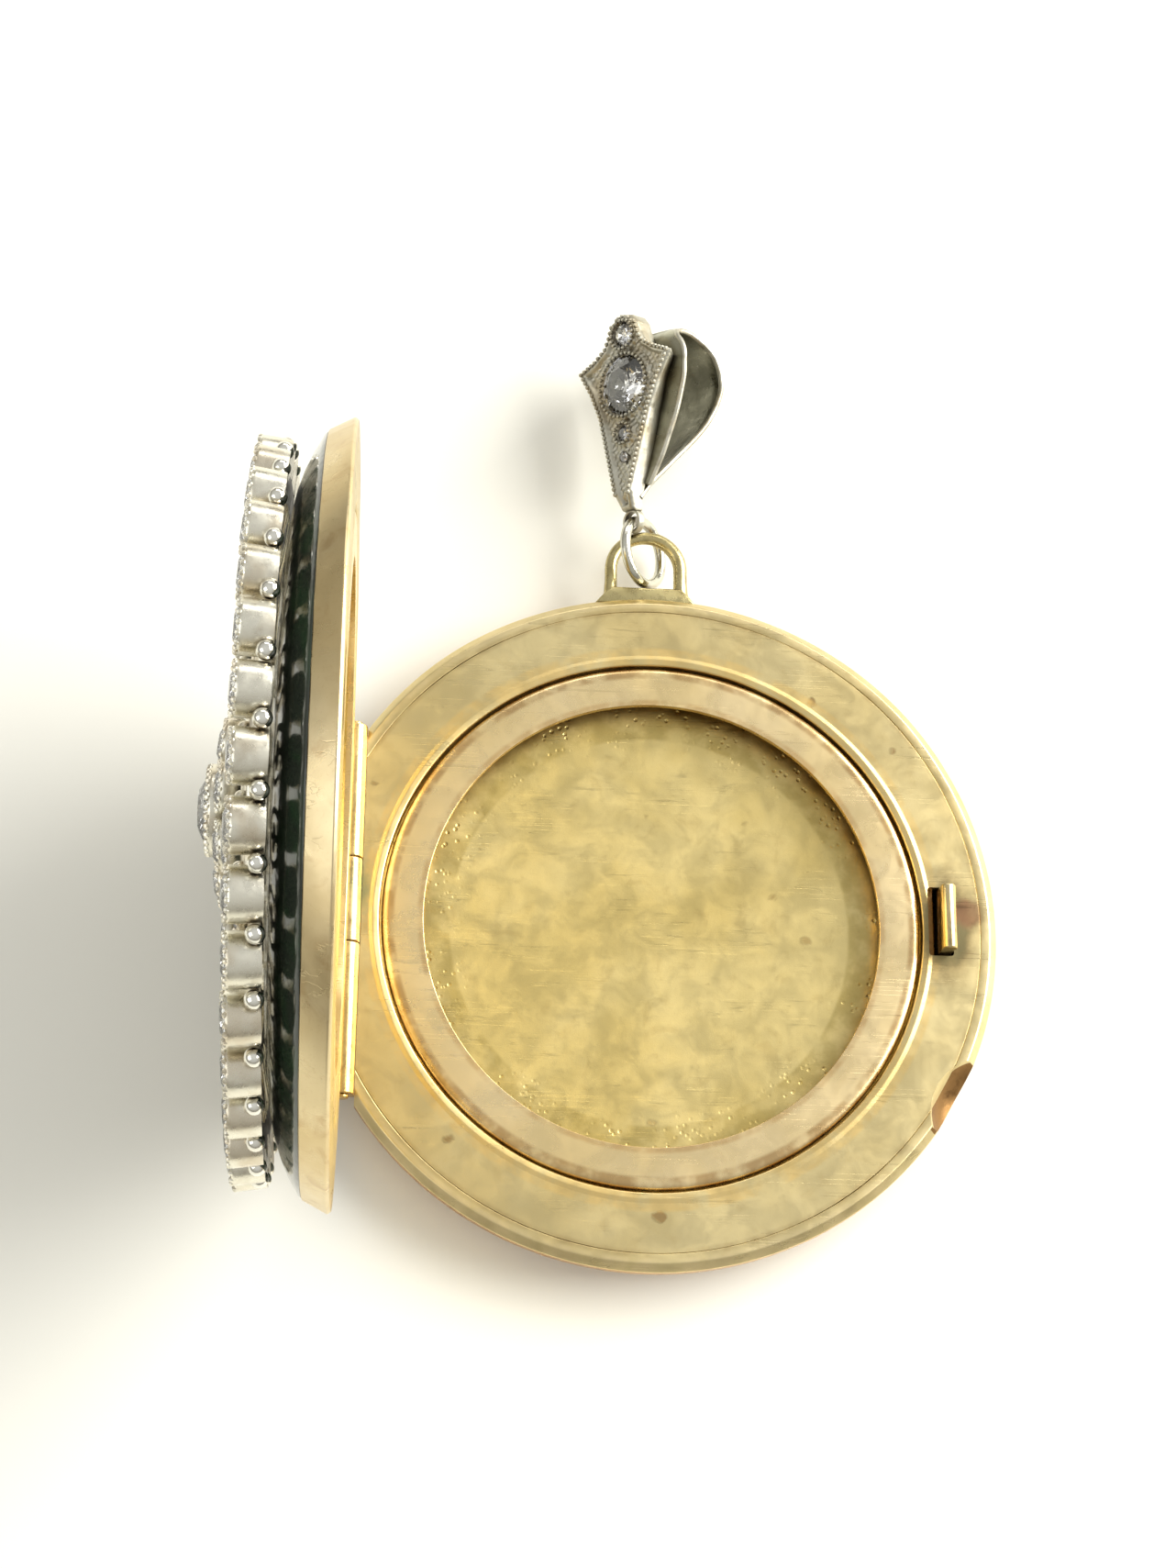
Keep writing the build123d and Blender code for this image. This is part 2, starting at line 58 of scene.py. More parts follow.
BACK = Matrix.Identity(4)
LID = mat((XH - XH * ca, 0, ZP - XH * sa), (ca, 0, sa), (0, 1, 0), (-sa, 0, ca))
DECK = LID @ Matrix.Translation(Vector((0, 0, 0.25)))      # the stone-set panel's frame
RING_TILT, ALPHA, BAIL_ROLL = radians(52), radians(33), radians(52)
ring_c = Vector((-0.40, 16.25, 1.93))
RR, RW = 1.375, 0.22
RINGM = mat(ring_c, (0, 1, 0), (cos(RING_TILT), 0, -sin(RING_TILT)), (sin(RING_TILT), 0, cos(RING_TILT)))
eye = ring_c + Vector((-RR * sin(ALPHA) * cos(RING_TILT), RR * cos(ALPHA), RR * sin(ALPHA) * sin(RING_TILT)))
L_ = Vector((-0.0695, 0.9770, 0.2030)).normalized()
W_ = Vector((cos(BAIL_ROLL), 0, sin(BAIL_ROLL)))
W_ = (W_ - L_ * W_.dot(L_)).normalized()
D_ = W_.cross(L_)
BAIL = mat(eye, W_, L_, D_)


# ---------------------------------------------------------------- mesh helpers
def make(name, verts, faces, m=BACK, sharp=35, smooth=True):
    me = bpy.data.meshes.new(name)
    me.from_pydata([tuple((m @ Vector(v)) * S) for v in verts], [], faces)
    me.validate()
    bm = bmesh.new()
    bm.from_mesh(me)
    bmesh.ops.remove_doubles(bm, verts=bm.verts, dist=1e-7)
    bmesh.ops.recalc_face_normals(bm, faces=bm.faces)
    bm.to_mesh(me)
    bm.free()
    if smooth:
        me.shade_smooth()
        me.set_sharp_from_angle(angle=radians(sharp))
    o = bpy.data.objects.new(name, me)
    bpy.context.scene.collection.objects.link(o)
    return o


def rounded(pts, rad, n=5):
    """Polygon with its corners rounded; rad is one radius or a list with one per corner."""
    out, k = [], len(pts)
    for i in range(k):
        p, a, b = Vector(pts[i]), Vector(pts[i - 1]), Vector(pts[(i + 1) % k])
        r = rad[i] if isinstance(rad, (list, tuple)) else rad
        u, v = (a - p), (b - p)
        if r <= 0 or u.length < 1e-6 or v.length < 1e-6 or pts[i][0] <= 1e-9:
            out.append(tuple(p))
            continue
        u2, v2 = u.normalized(), v.normalized()
        c = max(-1, min(1, u2.dot(v2)))
        half = math.acos(c) / 2
        if half < 0.05 or half > pi / 2 - 0.03:
            out.append(tuple(p))
            continue
        d = min(r / math.tan(half), u.length * 0.48, v.length * 0.48)
        s, e = p + u2 * d, p + v2 * d
        for j in range(n + 1):
            t = j / n
            q = s * (1 - t) ** 2 + p * 2 * t * (1 - t) + e * t ** 2
            out.append(tuple(q))
    return out


def revolve(name, pts, m=BACK, segs=256, wobble=None, **kw):
    verts, faces, rings = [], [], []
    for (r, z) in pts:
        if r < 1e-6:
            rings.append([len(verts)])
            verts.append((0, 0, z + (wobble(0, 0, z, 0.0, 0.0)[1] if wobble else 0)))
        else:
            rings.append(list(range(len(verts), len(verts) + segs)))
            for k in range(segs):
                a = 2 * pi * k / segs
                x, y, zz = r * cos(a), r * sin(a), z
                if wobble:
                    dr, dz = wobble(x, y, z, r, a)
                    x, y, zz = (r + dr) * cos(a), (r + dr) * sin(a), z + dz
                verts.append((x, y, zz))
    n = len(pts)
    for i in range(n):
        A, B = rings[i], rings[(i + 1) % n]
        if len(A) == 1 and len(B) == 1:
            continue
        for k in range(segs):
            k2 = (k + 1) % segs
            if len(A) == 1:
                faces.append((A[0], B[k], B[k2]))
            elif len(B) == 1:
                faces.append((A[k], A[k2], B[0]))
            else:
                faces.append((A[k], A[k2], B[k2], B[k]))
    return make(name, verts, faces, m, **kw)


def apply_bool(o, tool, op="DIFFERENCE"):
    md = o.modifiers.new("b", "BOOLEAN")
    md.operation, md.solver, md.object = op, "EXACT", tool
    dg = bpy.context.evaluated_depsgraph_get()
    me = bpy.data.meshes.new_from_object(o.evaluated_get(dg))
    o.modifiers.clear()
    old = o.data
    o.data = me
    me.name = o.name
    bpy.data.meshes.remove(old)
    bpy.data.objects.remove(tool, do_unlink=True)
    me.shade_smooth()
    me.set_sharp_from_angle(angle=radians(35))


def box_obj(x0, x1, y0, y1, z0, z1, m=BACK, bevel=0.0, name="tool"):
    v = [(x, y, z) for x in (x0, x1) for y in (y0, y1) for z in (z0, z1)]
    f = [(0, 1, 3, 2), (4, 6, 7, 5), (0, 4, 5, 1), (2, 3, 7, 6), (0, 2, 6, 4), (1, 5, 7, 3)]
    o = make(name, v, f, m, smooth=False)
    if bevel:
        bm = bmesh.new()
        bm.from_mesh(o.data)
        bmesh.ops.bevel(bm, geom=bm.edges[:], offset=bevel * S, segments=3, profile=0.5, affect="EDGES")
        bm.to_mesh(o.data)
        bm.free()
        o.data.shade_smooth()
        o.data.set_sharp_from_angle(angle=radians(40))
    return o


def prism(name, outline, z0, z1, m=BACK, bevel=0.0, **kw):
    n = len(outline)
    v = [(x, y, z0) for x, y in outline] + [(x, y, z1) for x, y in outline]
    f = [tuple(range(n))[::-1], tuple(range(n, 2 * n))] + [(i, (i + 1) % n, n + (i + 1) % n, n + i) for i in range(n)]
    o = make(name, v, f, m, **kw)
    if bevel:
        bm = bmesh.new()
        bm.from_mesh(o.data)
        es = [e for e in bm.edges if len(e.link_faces) == 2 and e.calc_face_angle(0) > 0.6]
        bmesh.ops.bevel(bm, geom=es, offset=bevel * S, segments=3, profile=0.5, affect="EDGES")
        bm.to_mesh(o.data)
        bm.free()
        o.data.shade_smooth()
        o.data.set_sharp_from_angle(angle=radians(40))
    return o


class Soup:
    """Collects many small solids into one piece."""

    def __init__(self):
        self.v, self.f = [], []

    def add(self, verts, faces, m=None):
        b = len(self.v)
        self.v += [tuple(m @ Vector(v)) if m is not None else tuple(v) for v in verts]
        self.f += [tuple(b + i for i in f) for f in faces]

    def lathe(self, pts, m, segs=24):
        verts, faces, rings = [], [], []
        for r, z in pts:
            if r < 1e-6:
                rings.append([len(verts)])
                verts.append((0, 0, z))
            else:
                rings.append(list(range(len(verts), len(verts) + segs)))
                verts += [(r * cos(2 * pi * k / segs), r * sin(2 * pi * k / segs), z) for k in range(segs)]
        n = len(pts)
        for i in range(n):
            A, B = rings[i], rings[(i + 1) % n]
            if len(A) == 1 and len(B) == 1:
                continue
            for k in range(segs):
                k2 = (k + 1) % segs
                if len(A) == 1:
                    faces.append((A[0], B[k], B[k2]))
                elif len(B) == 1:
                    faces.append((A[k], A[k2], B[0]))
                else:
                    faces.append((A[k], A[k2], B[k2], B[k]))
        self.add(verts, faces, m)

    def bead(self, c, r, m=None, n=10, k=6):
        pts = [(0, -r)] + [(r * cos(radians(-90 + 180 * i / k)), r * sin(radians(-90 + 180 * i / k))) for i in range(1, k)] + [(0, r)]
        mm = Matrix.Translation(Vector(c))
        self.lathe(pts, (m @ mm) if m is not None else mm, n)

    def tube(self, path, rad, m=None, sides=12, closed=False, squash=1.0):
        """Round wire along a list of points; rad is a number or a list."""
        P = [Vector(p) for p in path]
        n = len(P)
        verts, faces = [], []
        up = None
        for i, p in enumerate(P):
            if closed:
                t = (P[(i + 1) % n] - P[i - 1]).normalized()
            else:
                t = (P[min(i + 1, n - 1)] - P[max(i - 1, 0)]).normalized()
            if up is None:
                up = Vector((0, 0, 1)) if abs(t.z) < 0.9 else Vector((1, 0, 0))
            up = (up - t * up.dot(t)).normalized()
            sd = t.cross(up)
            r = rad[i] if isinstance(rad, (list, tuple)) else rad
            for k in range(sides):
                a = 2 * pi * k / sides
                verts.append(tuple(p + sd * (r * cos(a)) + up * (r * squash * sin(a))))
        last = n if closed else n - 1
        for i in range(last):
            for k in range(sides):
                a, b = i * sides + k, i * sides + (k + 1) % sides
                c, d = ((i + 1) % n) * sides + (k + 1) % sides, ((i + 1) % n) * sides + k
                faces.append((a, b, c, d))
        if not closed:
            faces.append(tuple(range(sides))[::-1])
            faces.append(tuple(range((n - 1) * sides, n * sides)))
        self.add(verts, faces, m)

    def gem(self, c, r, m, crown=0.30, pav=0.75, n=8, table=0.53, turn=0.0):
        """Round brilliant: table, star, kite and girdle facets, main pavilion facets and a small culet."""
        mm = m @ Matrix.Translation(Vector(c)) @ Matrix.Rotation(turn, 4, "Z")
        g = 0.04 * r
        V, F = [], []
        T = [len(V) + k for k in range(n)]
        V += [(table * r * cos(2 * pi * (k + .5) / n), table * r * sin(2 * pi * (k + .5) / n), g + crown * r) for k in range(n)]
        M = [len(V) + k for k in range(n)]
        V += [(0.78 * r * cos(2 * pi * k / n), 0.78 * r * sin(2 * pi * k / n), g + crown * r * 0.52) for k in range(n)]
        G = [len(V) + k for k in range(2 * n)]
        V += [(r * cos(pi * k / n), r * sin(pi * k / n), g) for k in range(2 * n)]
        H = [len(V) + k for k in range(2 * n)]
        V += [(r * cos(pi * k / n), r * sin(pi * k / n), -g) for k in range(2 * n)]
        Q = [len(V) + k for k in range(n)]
        V += [(0.42 * r * cos(2 * pi * (k + .5) / n), 0.42 * r * sin(2 * pi * (k + .5) / n), -g - pav * r * 0.55) for k in range(n)]
        cu = [len(V) + k for k in range(n)]
        V += [(0.06 * r * cos(2 * pi * k / n), 0.06 * r * sin(2 * pi * k / n), -g - pav * r) for k in range(n)]
        F.append(tuple(T))
        for k in range(n):
            p, q = (k - 1) % n, (k + 1) % n
            F.append((T[p], M[k], T[k]))                       # star
            F.append((M[k], G[2 * k], G[2 * k + 1]))            # girdle facets
            F.append((M[q], G[2 * k + 1], G[(2 * k + 2) % (2 * n)]))
            F.append((T[k], M[k], G[2 * k + 1], M[q]))          # kite
            for s_ in (2 * k, 2 * k + 1):
                F.append((G[s_], H[s_], H[(s_ + 1) % (2 * n)], G[(s_ + 1) % (2 * n)]))
                F.append((H[s_], Q[k], H[(s_ + 1) % (2 * n)]))
            F.append((Q[k], cu[k], cu[q]))
            F.append((Q[p], cu[k], Q[k]))
            F.append((H[2 * k], Q[p], Q[k]))
        F.append(tuple(cu)[::-1])
        self.add(V, F, mm)

    def build(self, name, m=BACK, **kw):
        return make(name, self.v, self.f, m, **kw)


def isoplate(name, gx, gy, F, top, bot, m=BACK, squeeze=None, sharp=40):
    """Solid plate where F < 0, on a grid of points gx[i, j], gy[i, j]; top and bot give its faces' heights."""
    ni, nj = gx.shape
    val = F(gx, gy)
    val = np.where(np.abs(val) < 1e-5, -1e-5, val)
    P2, key = [], {}

    def corner(i, j):
        k = (i, j)
        if k not in key:
            key[k] = len(P2)
            P2.append((gx[i, j], gy[i, j]))
        return key[k]

    def cut(a, b):
        k = (a, b) if a < b else (b, a)
        if k not in key:
            fa, fb = val[a], val[b]
            t = fa / (fa - fb)
            key[k] = len(P2)
            P2.append((gx[a] + t * (gx[b] - gx[a]), gy[a] + t * (gy[b] - gy[a])))
        return key[k]

    faces = []
    for i in range(ni - 1):
        row = val[i:i + 2]
        for j in range(nj - 1):
            c = ((i, j), (i + 1, j), (i + 1, j + 1), (i, j + 1))
            s = [val[q] < 0 for q in c]
            if not any(s):
                continue
            if all(s):
                faces.append(tuple(corner(*q) for q in c))
                continue
            poly = []
            for q in range(4):
                a, b = c[q], c[(q + 1) % 4]
                if val[a] < 0:
                    poly.append(corner(*a))
                if (val[a] < 0) != (val[b] < 0):
                    poly.append(cut(a, b))
            if len(poly) > 2:
                faces.append(tuple(poly))
    A = np.array(P2)
    # weld points that coincide (grid seam, poles)
    q = np.round(A / 1e-4).astype(np.int64)
    _, first, inv = np.unique(q, axis=0, return_index=True, return_inverse=True)
    inv = inv.ravel()
    A = A[first]
    faces2 = []
    for f in faces:
        g = []
        for k in f:
            k = int(inv[k])
            if not g or g[-1] != k:
                g.append(k)
        if len(g) > 1 and g[0] == g[-1]:
            g.pop()
        if len(g) > 2 and len(set(g)) == len(g):
            faces2.append(tuple(g))
    x, y = A[:, 0], A[:, 1]
    n = len(A)
    zt, zb = top(x, y), bot(x, y)
    bx, by = (x, y) if squeeze is None else squeeze(x, y)
    verts = [(x[k], y[k], zt[k]) for k in range(n)] + [(bx[k], by[k], zb[k]) for k in range(n)]
    count = {}
    for f in faces2:
        for a, b in zip(f, f[1:] + f[:1]):
            count[(a, b)] = count.get((a, b), 0) + 1
    side = [(b, a, a + n, b + n) for (a, b) in count if (b, a) not in count]
    return make(name, verts, faces2 + [tuple(k + n for k in f[::-1]) for f in faces2] + side, m, sharp=sharp)


def polar_grid(r0, r1, nr, na):
    r = np.linspace(r0, r1, nr)[:, None]
    a = np.linspace(0, 2 * pi, na + 1)[None, :]
    return r * np.cos(a), r * np.sin(a)


def sdf_poly(px, py, pts):
    """Signed distance to a polygon, negative inside."""
    d = np.full(px.shape, 1e9)
    inside = np.zeros(px.shape, bool)
    n = len(pts)
    for i in range(n):
        ax, ay = pts[i]
        bx, by = pts[(i + 1) % n]
        ex, ey = bx - ax, by - ay
        wx, wy = px - ax, py - ay
        t = np.clip((wx * ex + wy * ey) / (ex * ex + ey * ey), 0, 1)
        d = np.minimum(d, np.hypot(wx - ex * t, wy - ey * t))
        cond = ((ay > py) != (by > py)) & (px < (bx - ax) * (py - ay) / ((by - ay) if abs(by - ay) > 1e-12 else 1e-12) + ax)
        inside ^= cond
    return np.where(inside, -d, d)


def catmull(pts, per=10, closed=False):
    P = [Vector(p) for p in pts]
    n = len(P)
    out = []
    for i in range(n if closed else n - 1):
        p0 = P[(i - 1) % n] if (closed or i > 0) else P[0] * 2 - P[1]
        p1, p2 = P[i], P[(i + 1) % n]
        p3 = P[(i + 2) % n] if (closed or i + 2 < n) else P[-1] * 2 - P[-2]
        for k in range(per):
            t = k / per
            out.append(0.5 * ((2 * p1) + (p2 - p0) * t + (2 * p0 - 5 * p1 + 4 * p2 - p3) * t * t + (3 * p1 - p0 - 3 * p2 + p3) * t ** 3))
    if not closed:
        out.append(P[-1])
    return out


# ---------------------------------------------------------------- materials
class NT:
    def __init__(self, name):
        self.m = bpy.data.materials.new(name)
        self.m.use_nodes = True
        self.t = self.m.node_tree
        self.b = self.t.nodes["Principled BSDF"]
        tc = self.t.nodes.new("ShaderNodeTexCoord")
        mp = self.t.nodes.new("ShaderNodeMapping")
        mp.inputs["Scale"].default_value = (1000, 1000, 1000)     # texture space in mm
        self.t.links.new(tc.outputs["Object"], mp.inputs["Vector"])
        self.p = mp.outputs["Vector"]

    def link(self, a, b):
        self.t.links.new(a, b)

    def put(self, sock, v):
        if hasattr(v, "is_output"):
            self.link(v, sock)
        elif isinstance(v, (tuple, list)) and len(v) == 3 and sock.type == "RGBA":
            sock.default_value = (*v, 1)
        else:
            sock.default_value = v

    def mapping(self, rot=(0, 0, 0), scale=(1, 1, 1), loc=(0, 0, 0), src=None):
        n = self.t.nodes.new("ShaderNodeMapping")
        n.inputs["Rotation"].default_value = rot
        n.inputs["Scale"].default_value = scale
        n.inputs["Location"].default_value = loc
        self.link(src or self.p, n.inputs["Vector"])
        return n.outputs["Vector"]

    def noise(self, scale, detail=3, rough=0.5, vec=None, dist=0.0):
        n = self.t.nodes.new("ShaderNodeTexNoise")
        n.inputs["Scale"].default_value = scale
        n.inputs["Detail"].default_value = detail
        n.inputs["Roughness"].default_value = rough
        n.inputs["Distortion"].default_value = dist
        self.link(vec or self.p, n.inputs["Vector"])
        return n.outputs["Fac"]

    def voronoi(self, scale, vec=None, feature="F1", out="Distance"):
        n = self.t.nodes.new("ShaderNodeTexVoronoi")
        n.feature = feature
        n.inputs["Scale"].default_value = scale
        self.link(vec or self.p, n.inputs["Vector"])
        return n.outputs[out]

    def math(self, op, a, b=0.0, c=0.0, clamp=False):
        n = self.t.nodes.new("ShaderNodeMath")
        n.operation = op
        n.use_clamp = clamp
        for i, v in enumerate((a, b, c)):
            if i < len(n.inputs):
                self.put(n.inputs[i], v)
        return n.outputs[0]

    def ramp(self, x, lo, hi, a=0.0, b=1.0):
        n = self.t.nodes.new("ShaderNodeMapRange")
        n.interpolation_type = "SMOOTHSTEP"
        self.put(n.inputs["Value"], x)
        for k, v in (("From Min", lo), ("From Max", hi), ("To Min", a), ("To Max", b)):
            n.inputs[k].default_value = v
        return n.outputs[0]

    def mix(self, f, a, b):
        n = self.t.nodes.new("ShaderNodeMix")
        n.data_type = "RGBA"
        self.put(n.inputs[0], f)
        self.put(n.inputs[6], a)
        self.put(n.inputs[7], b)
        return n.outputs[2]

    def xyz(self, vec=None):
        n = self.t.nodes.new("ShaderNodeSeparateXYZ")
        self.link(vec or self.p, n.inputs[0])
        return n.outputs

    def radius(self):
        x, y, z = self.xyz()
        return self.math("SQRT", self.math("ADD", self.math("MULTIPLY", x, x), self.math("MULTIPLY", y, y)))

    def lines(self, angle, density, width, keep=0.62, length=0.06, seed=0.0):
        """Thin straight scratches at an angle in the XY plane, broken up along their length: 1 on a scratch."""
        v = self.mapping(rot=(0, 0, radians(angle)), scale=(length, density, density), loc=(seed, seed * 1.7, 0))
        n = self.noise(1.0, 1, 0.4, v)
        a = self.math("ABSOLUTE", self.math("SUBTRACT", n, 0.5))
        thin = self.ramp(a, 0.0, width, 1.0, 0.0)
        v2 = self.mapping(rot=(0, 0, radians(angle)), scale=(0.25, 0.6, 0.6), loc=(seed * 3, 0, seed))
        gate = self.ramp(self.noise(1.0, 1, 0.5, v2), keep - 0.03, keep + 0.03)
        return self.math("MULTIPLY", thin, gate)

    def bump(self, h, strength, dist_mm, prev=None):
        n = self.t.nodes.new("ShaderNodeBump")
        n.inputs["Strength"].default_value = strength
        n.inputs["Distance"].default_value = dist_mm * S
        self.put(n.inputs["Height"], h)
        if prev is not None:
            self.link(prev, n.inputs["Normal"])
        return n.outputs["Normal"]

    def ao(self, dist_mm):
        n = self.t.nodes.new("ShaderNodeAmbientOcclusion")
        n.samples = 6
        n.inputs["Distance"].default_value = dist_mm * S
        return n.outputs["AO"]


def add3(t, *s):
    r = s[0]
    for k in s[1:]:
        r = t.math("ADD", r, k)
    return r


def srgb(r, g, b):
    f = lambda c: (c / 255 / 12.92) if c / 255 <= 0.04045 else ((c / 255 + 0.055) / 1.055) ** 2.4
    return (f(r), f(g), f(b))


def gold(name, base, pale, dark, rough=(0.24, 0.42), patina=0.45, scratches=0.5, grain=0.25, spots=0.0, catch=False, painted_light_bands=None, pits=0.0):
    t = NT(name)
    big = t.noise(0.22, 3, 0.55)
    mid = t.noise(0.9, 4, 0.6, dist=0.6)
    fine = t.noise(9.0, 3, 0.6)
    col = t.mix(t.ramp(big, 0.35, 0.68), base, pale)
    col = t.mix(t.math("MULTIPLY", t.ramp(mid, 0.52, 0.74), patina), col, dark)
    col = t.mix(t.math("MULTIPLY", t.ramp(fine, 0.55, 0.75), patina * 0.35), col, dark)
    dirt = None
    if spots:
        v = t.voronoi(0.42, t.mapping(scale=(1.0, 1.3, 1.0), loc=(3.1, 1.7, 0.4)))
        sp = t.math("MULTIPLY", t.ramp(t.math("ADD", v, t.math("MULTIPLY", t.math("SUBTRACT", mid, 0.5), 0.35)), 0.05, 0.115, 1.0, 0.0), t.ramp(t.noise(0.33, 1, 0.5), 0.50, 0.56))
        col = t.mix(t.math("MULTIPLY", sp, spots), col, srgb(96, 70, 40))
        dirt = sp
    r = None
    # painted light: bands at given radii are tinted towards a darker tone for painted shade in gaps and steps, and
    # towards a paler tone for painted highlights on rounded edges
    if painted_light_bands:
        r = t.radius()
        for r0, r1, amount, tone in painted_light_bands:
            band = t.math("MULTIPLY", t.ramp(r, r0 - 0.18, r0), t.ramp(r, r1, r1 + 0.18, 1.0, 0.0))
            band = t.math("MULTIPLY", band, t.ramp(t.noise(0.8, 3, 0.6), 0.30, 0.62))
            col = t.mix(t.math("MULTIPLY", band, amount), col, tone)
    if catch:
        x, y, z = t.xyz()
        d = t.math("SQRT", t.math("ADD", t.math("POWER", t.math("SUBTRACT", x, 11.9), 2.0), t.math("POWER", t.math("MULTIPLY", t.math("SUBTRACT", y, 0.1), 0.55), 2.0)))
        n1 = t.noise(1.6, 3, 0.6)
        z1 = t.math("MULTIPLY", t.ramp(t.math("ADD", d, t.math("MULTIPLY", n1, 0.7)), 1.05, 1.95, 1.0, 0.0), 0.78)
        col = t.mix(z1, col, srgb(142, 118, 78))
        z2 = t.math("MULTIPLY", t.ramp(t.math("ADD", d, t.math("MULTIPLY", n1, 0.6)), 0.95, 1.45, 1.0, 0.0), 0.62)
        col = t.mix(z2, col, srgb(112, 112, 84))
        # brown stain on the right of the tongue and green at the middle hinge tube
        d2 = t.math("SQRT", t.math("ADD", t.math("POWER", t.math("SUBTRACT", x, 12.75), 2.0), t.math("POWER", t.math("SUBTRACT", y, 0.75), 2.0)))
        col = t.mix(t.math("MULTIPLY", t.ramp(t.math("ADD", d2, t.math("MULTIPLY", n1, 0.5)), 0.60, 1.05, 1.0, 0.0), 0.72), col, srgb(150, 108, 82))
        d3 = t.math("SQRT", t.math("ADD", t.math("POWER", t.math("ADD", x, 11.75), 2.0), t.math("POWER", t.math("MULTIPLY", t.math("SUBTRACT", y, 0.9), 0.45), 2.0)))
        col = t.mix(t.math("MULTIPLY", t.ramp(t.math("ADD", d3, t.math("MULTIPLY", n1, 0.6)), 0.45, 1.0, 1.0, 0.0), 0.6), col, srgb(122, 138, 104))
    t.put(t.b.inputs["Base Color"], col)
    t.b.inputs["Metallic"].default_value = 1.0
    rr = t.ramp(t.noise(0.7, 4, 0.65, dist=0.5), 0.3, 0.7, rough[0], rough[1])
    if dirt is not None:
        rr = t.math("MAXIMUM", rr, t.math("MULTIPLY", dirt, 0.62))
    sc1 = t.lines(38, 3.2, 0.016, 0.60, 0.05, 1.3)
    sc2 = t.lines(-24, 4.1, 0.014, 0.62, 0.07, 4.1)
    sc3 = t.lines(82, 5.3, 0.013, 0.60, 0.08, 7.7)
    hair = t.noise(1.0, 2, 0.5, t.mapping(rot=(0, 0, radians(31)), scale=(0.35, 14, 14)))
    sc = add3(t, sc1, sc2, sc3)
    t.put(t.b.inputs["Roughness"], t.math("ADD", rr, t.math("MULTIPLY", sc, -0.10)))
    h = add3(t, t.math("MULTIPLY", sc, -0.6 * scratches), t.math("MULTIPLY", hair, 0.22 * scratches), t.math("MULTIPLY", t.noise(26, 2, 0.6), grain))
    nrm = t.bump(h, 0.35, 0.02)
    nrm = t.bump(t.noise(0.45, 2, 0.5), 0.10, 0.20, nrm)
    if pits:
        pv = t.voronoi(3.4)
        pz = t.ramp(t.radius(), 7.2, 9.3, 0.0, 1.0)
        pit = t.math("MULTIPLY", t.ramp(pv, 0.10, 0.34, 1.0, 0.0), t.math("MULTIPLY", pz, t.ramp(t.noise(0.5, 2, 0.5), 0.40, 0.62)))
        nrm = t.bump(t.math("MULTIPLY", pit, -1.0), 0.6 * pits, 0.05, nrm)
    t.link(nrm, t.b.inputs["Normal"])
    return t.m


# painted light bands: a warmer, brighter tone over the rolled inner lip (painted highlight), a darker line at the step
# to the rim (painted shade), a pale band on the rounded outer rim (painted highlight)
GOLD = gold("gold_satin", srgb(211, 191, 136), srgb(221, 203, 151), srgb(186, 160, 104), rough=(0.28, 0.40), patina=0.24, scratches=0.35,
            spots=0.75, catch=True, painted_light_bands=[(10.9, 11.6, 0.5, srgb(232, 196, 120)), (13.25, 13.36, 0.35, srgb(160, 132, 84)), (13.6, 14.2, 0.35, srgb(244, 222, 176))])
# painted shade: a dark brown band on the ring's outer edge, in the gap to the flange, and a darker band on its inner
# edge
ROSE = gold("gold_frame_ring", srgb(238, 213, 157), srgb(245, 222, 172), srgb(212, 182, 124), rough=(0.24, 0.34), patina=0.14, scratches=0.35,
            painted_light_bands=[(10.45, 11.0, 0.6, srgb(160, 116, 62)), (9.0, 9.32, 0.5, srgb(196, 152, 92))])
# painted shade: a darker band around the pan's edge, under the frame ring's inner wall
PAN = gold("gold_pan", srgb(208, 186, 120), srgb(220, 200, 138), srgb(172, 148, 90), rough=(0.32, 0.46), patina=0.32, scratches=0.5, grain=0.5,
           spots=0.5, painted_light_bands=[(8.2, 9.6, 0.45, srgb(150, 128, 58))], pits=0.8)
OUTER = gold("gold_outside", srgb(206, 160, 100), srgb(222, 182, 124), srgb(120, 74, 40), rough=(0.20, 0.34), patina=0.5, scratches=0.6)
# painted shade: a dark brown gold for the notch wall and the catch slot's ledge, standing in for the shade in these
# recesses
RECESS_SHADE = gold("gold_recess_painted_shade", srgb(132, 98, 58), srgb(150, 114, 70), srgb(84, 54, 30), rough=(0.30, 0.44), patina=0.6, scratches=0.3)
BAND = gold("gold_band", srgb(212, 190, 142), srgb(222, 204, 162), srgb(176, 140, 92), rough=(0.26, 0.38), patina=0.4, scratches=0.5)
CATCH = gold("gold_catch", srgb(196, 176, 128), srgb(214, 198, 152), srgb(126, 104, 66), rough=(0.18, 0.28), patina=0.6, scratches=0.3)
HINGE = gold("gold_hinge", srgb(214, 178, 108), srgb(232, 202, 140), srgb(128, 96, 46), rough=(0.20, 0.34), patina=0.65, scratches=0.4, catch=True)


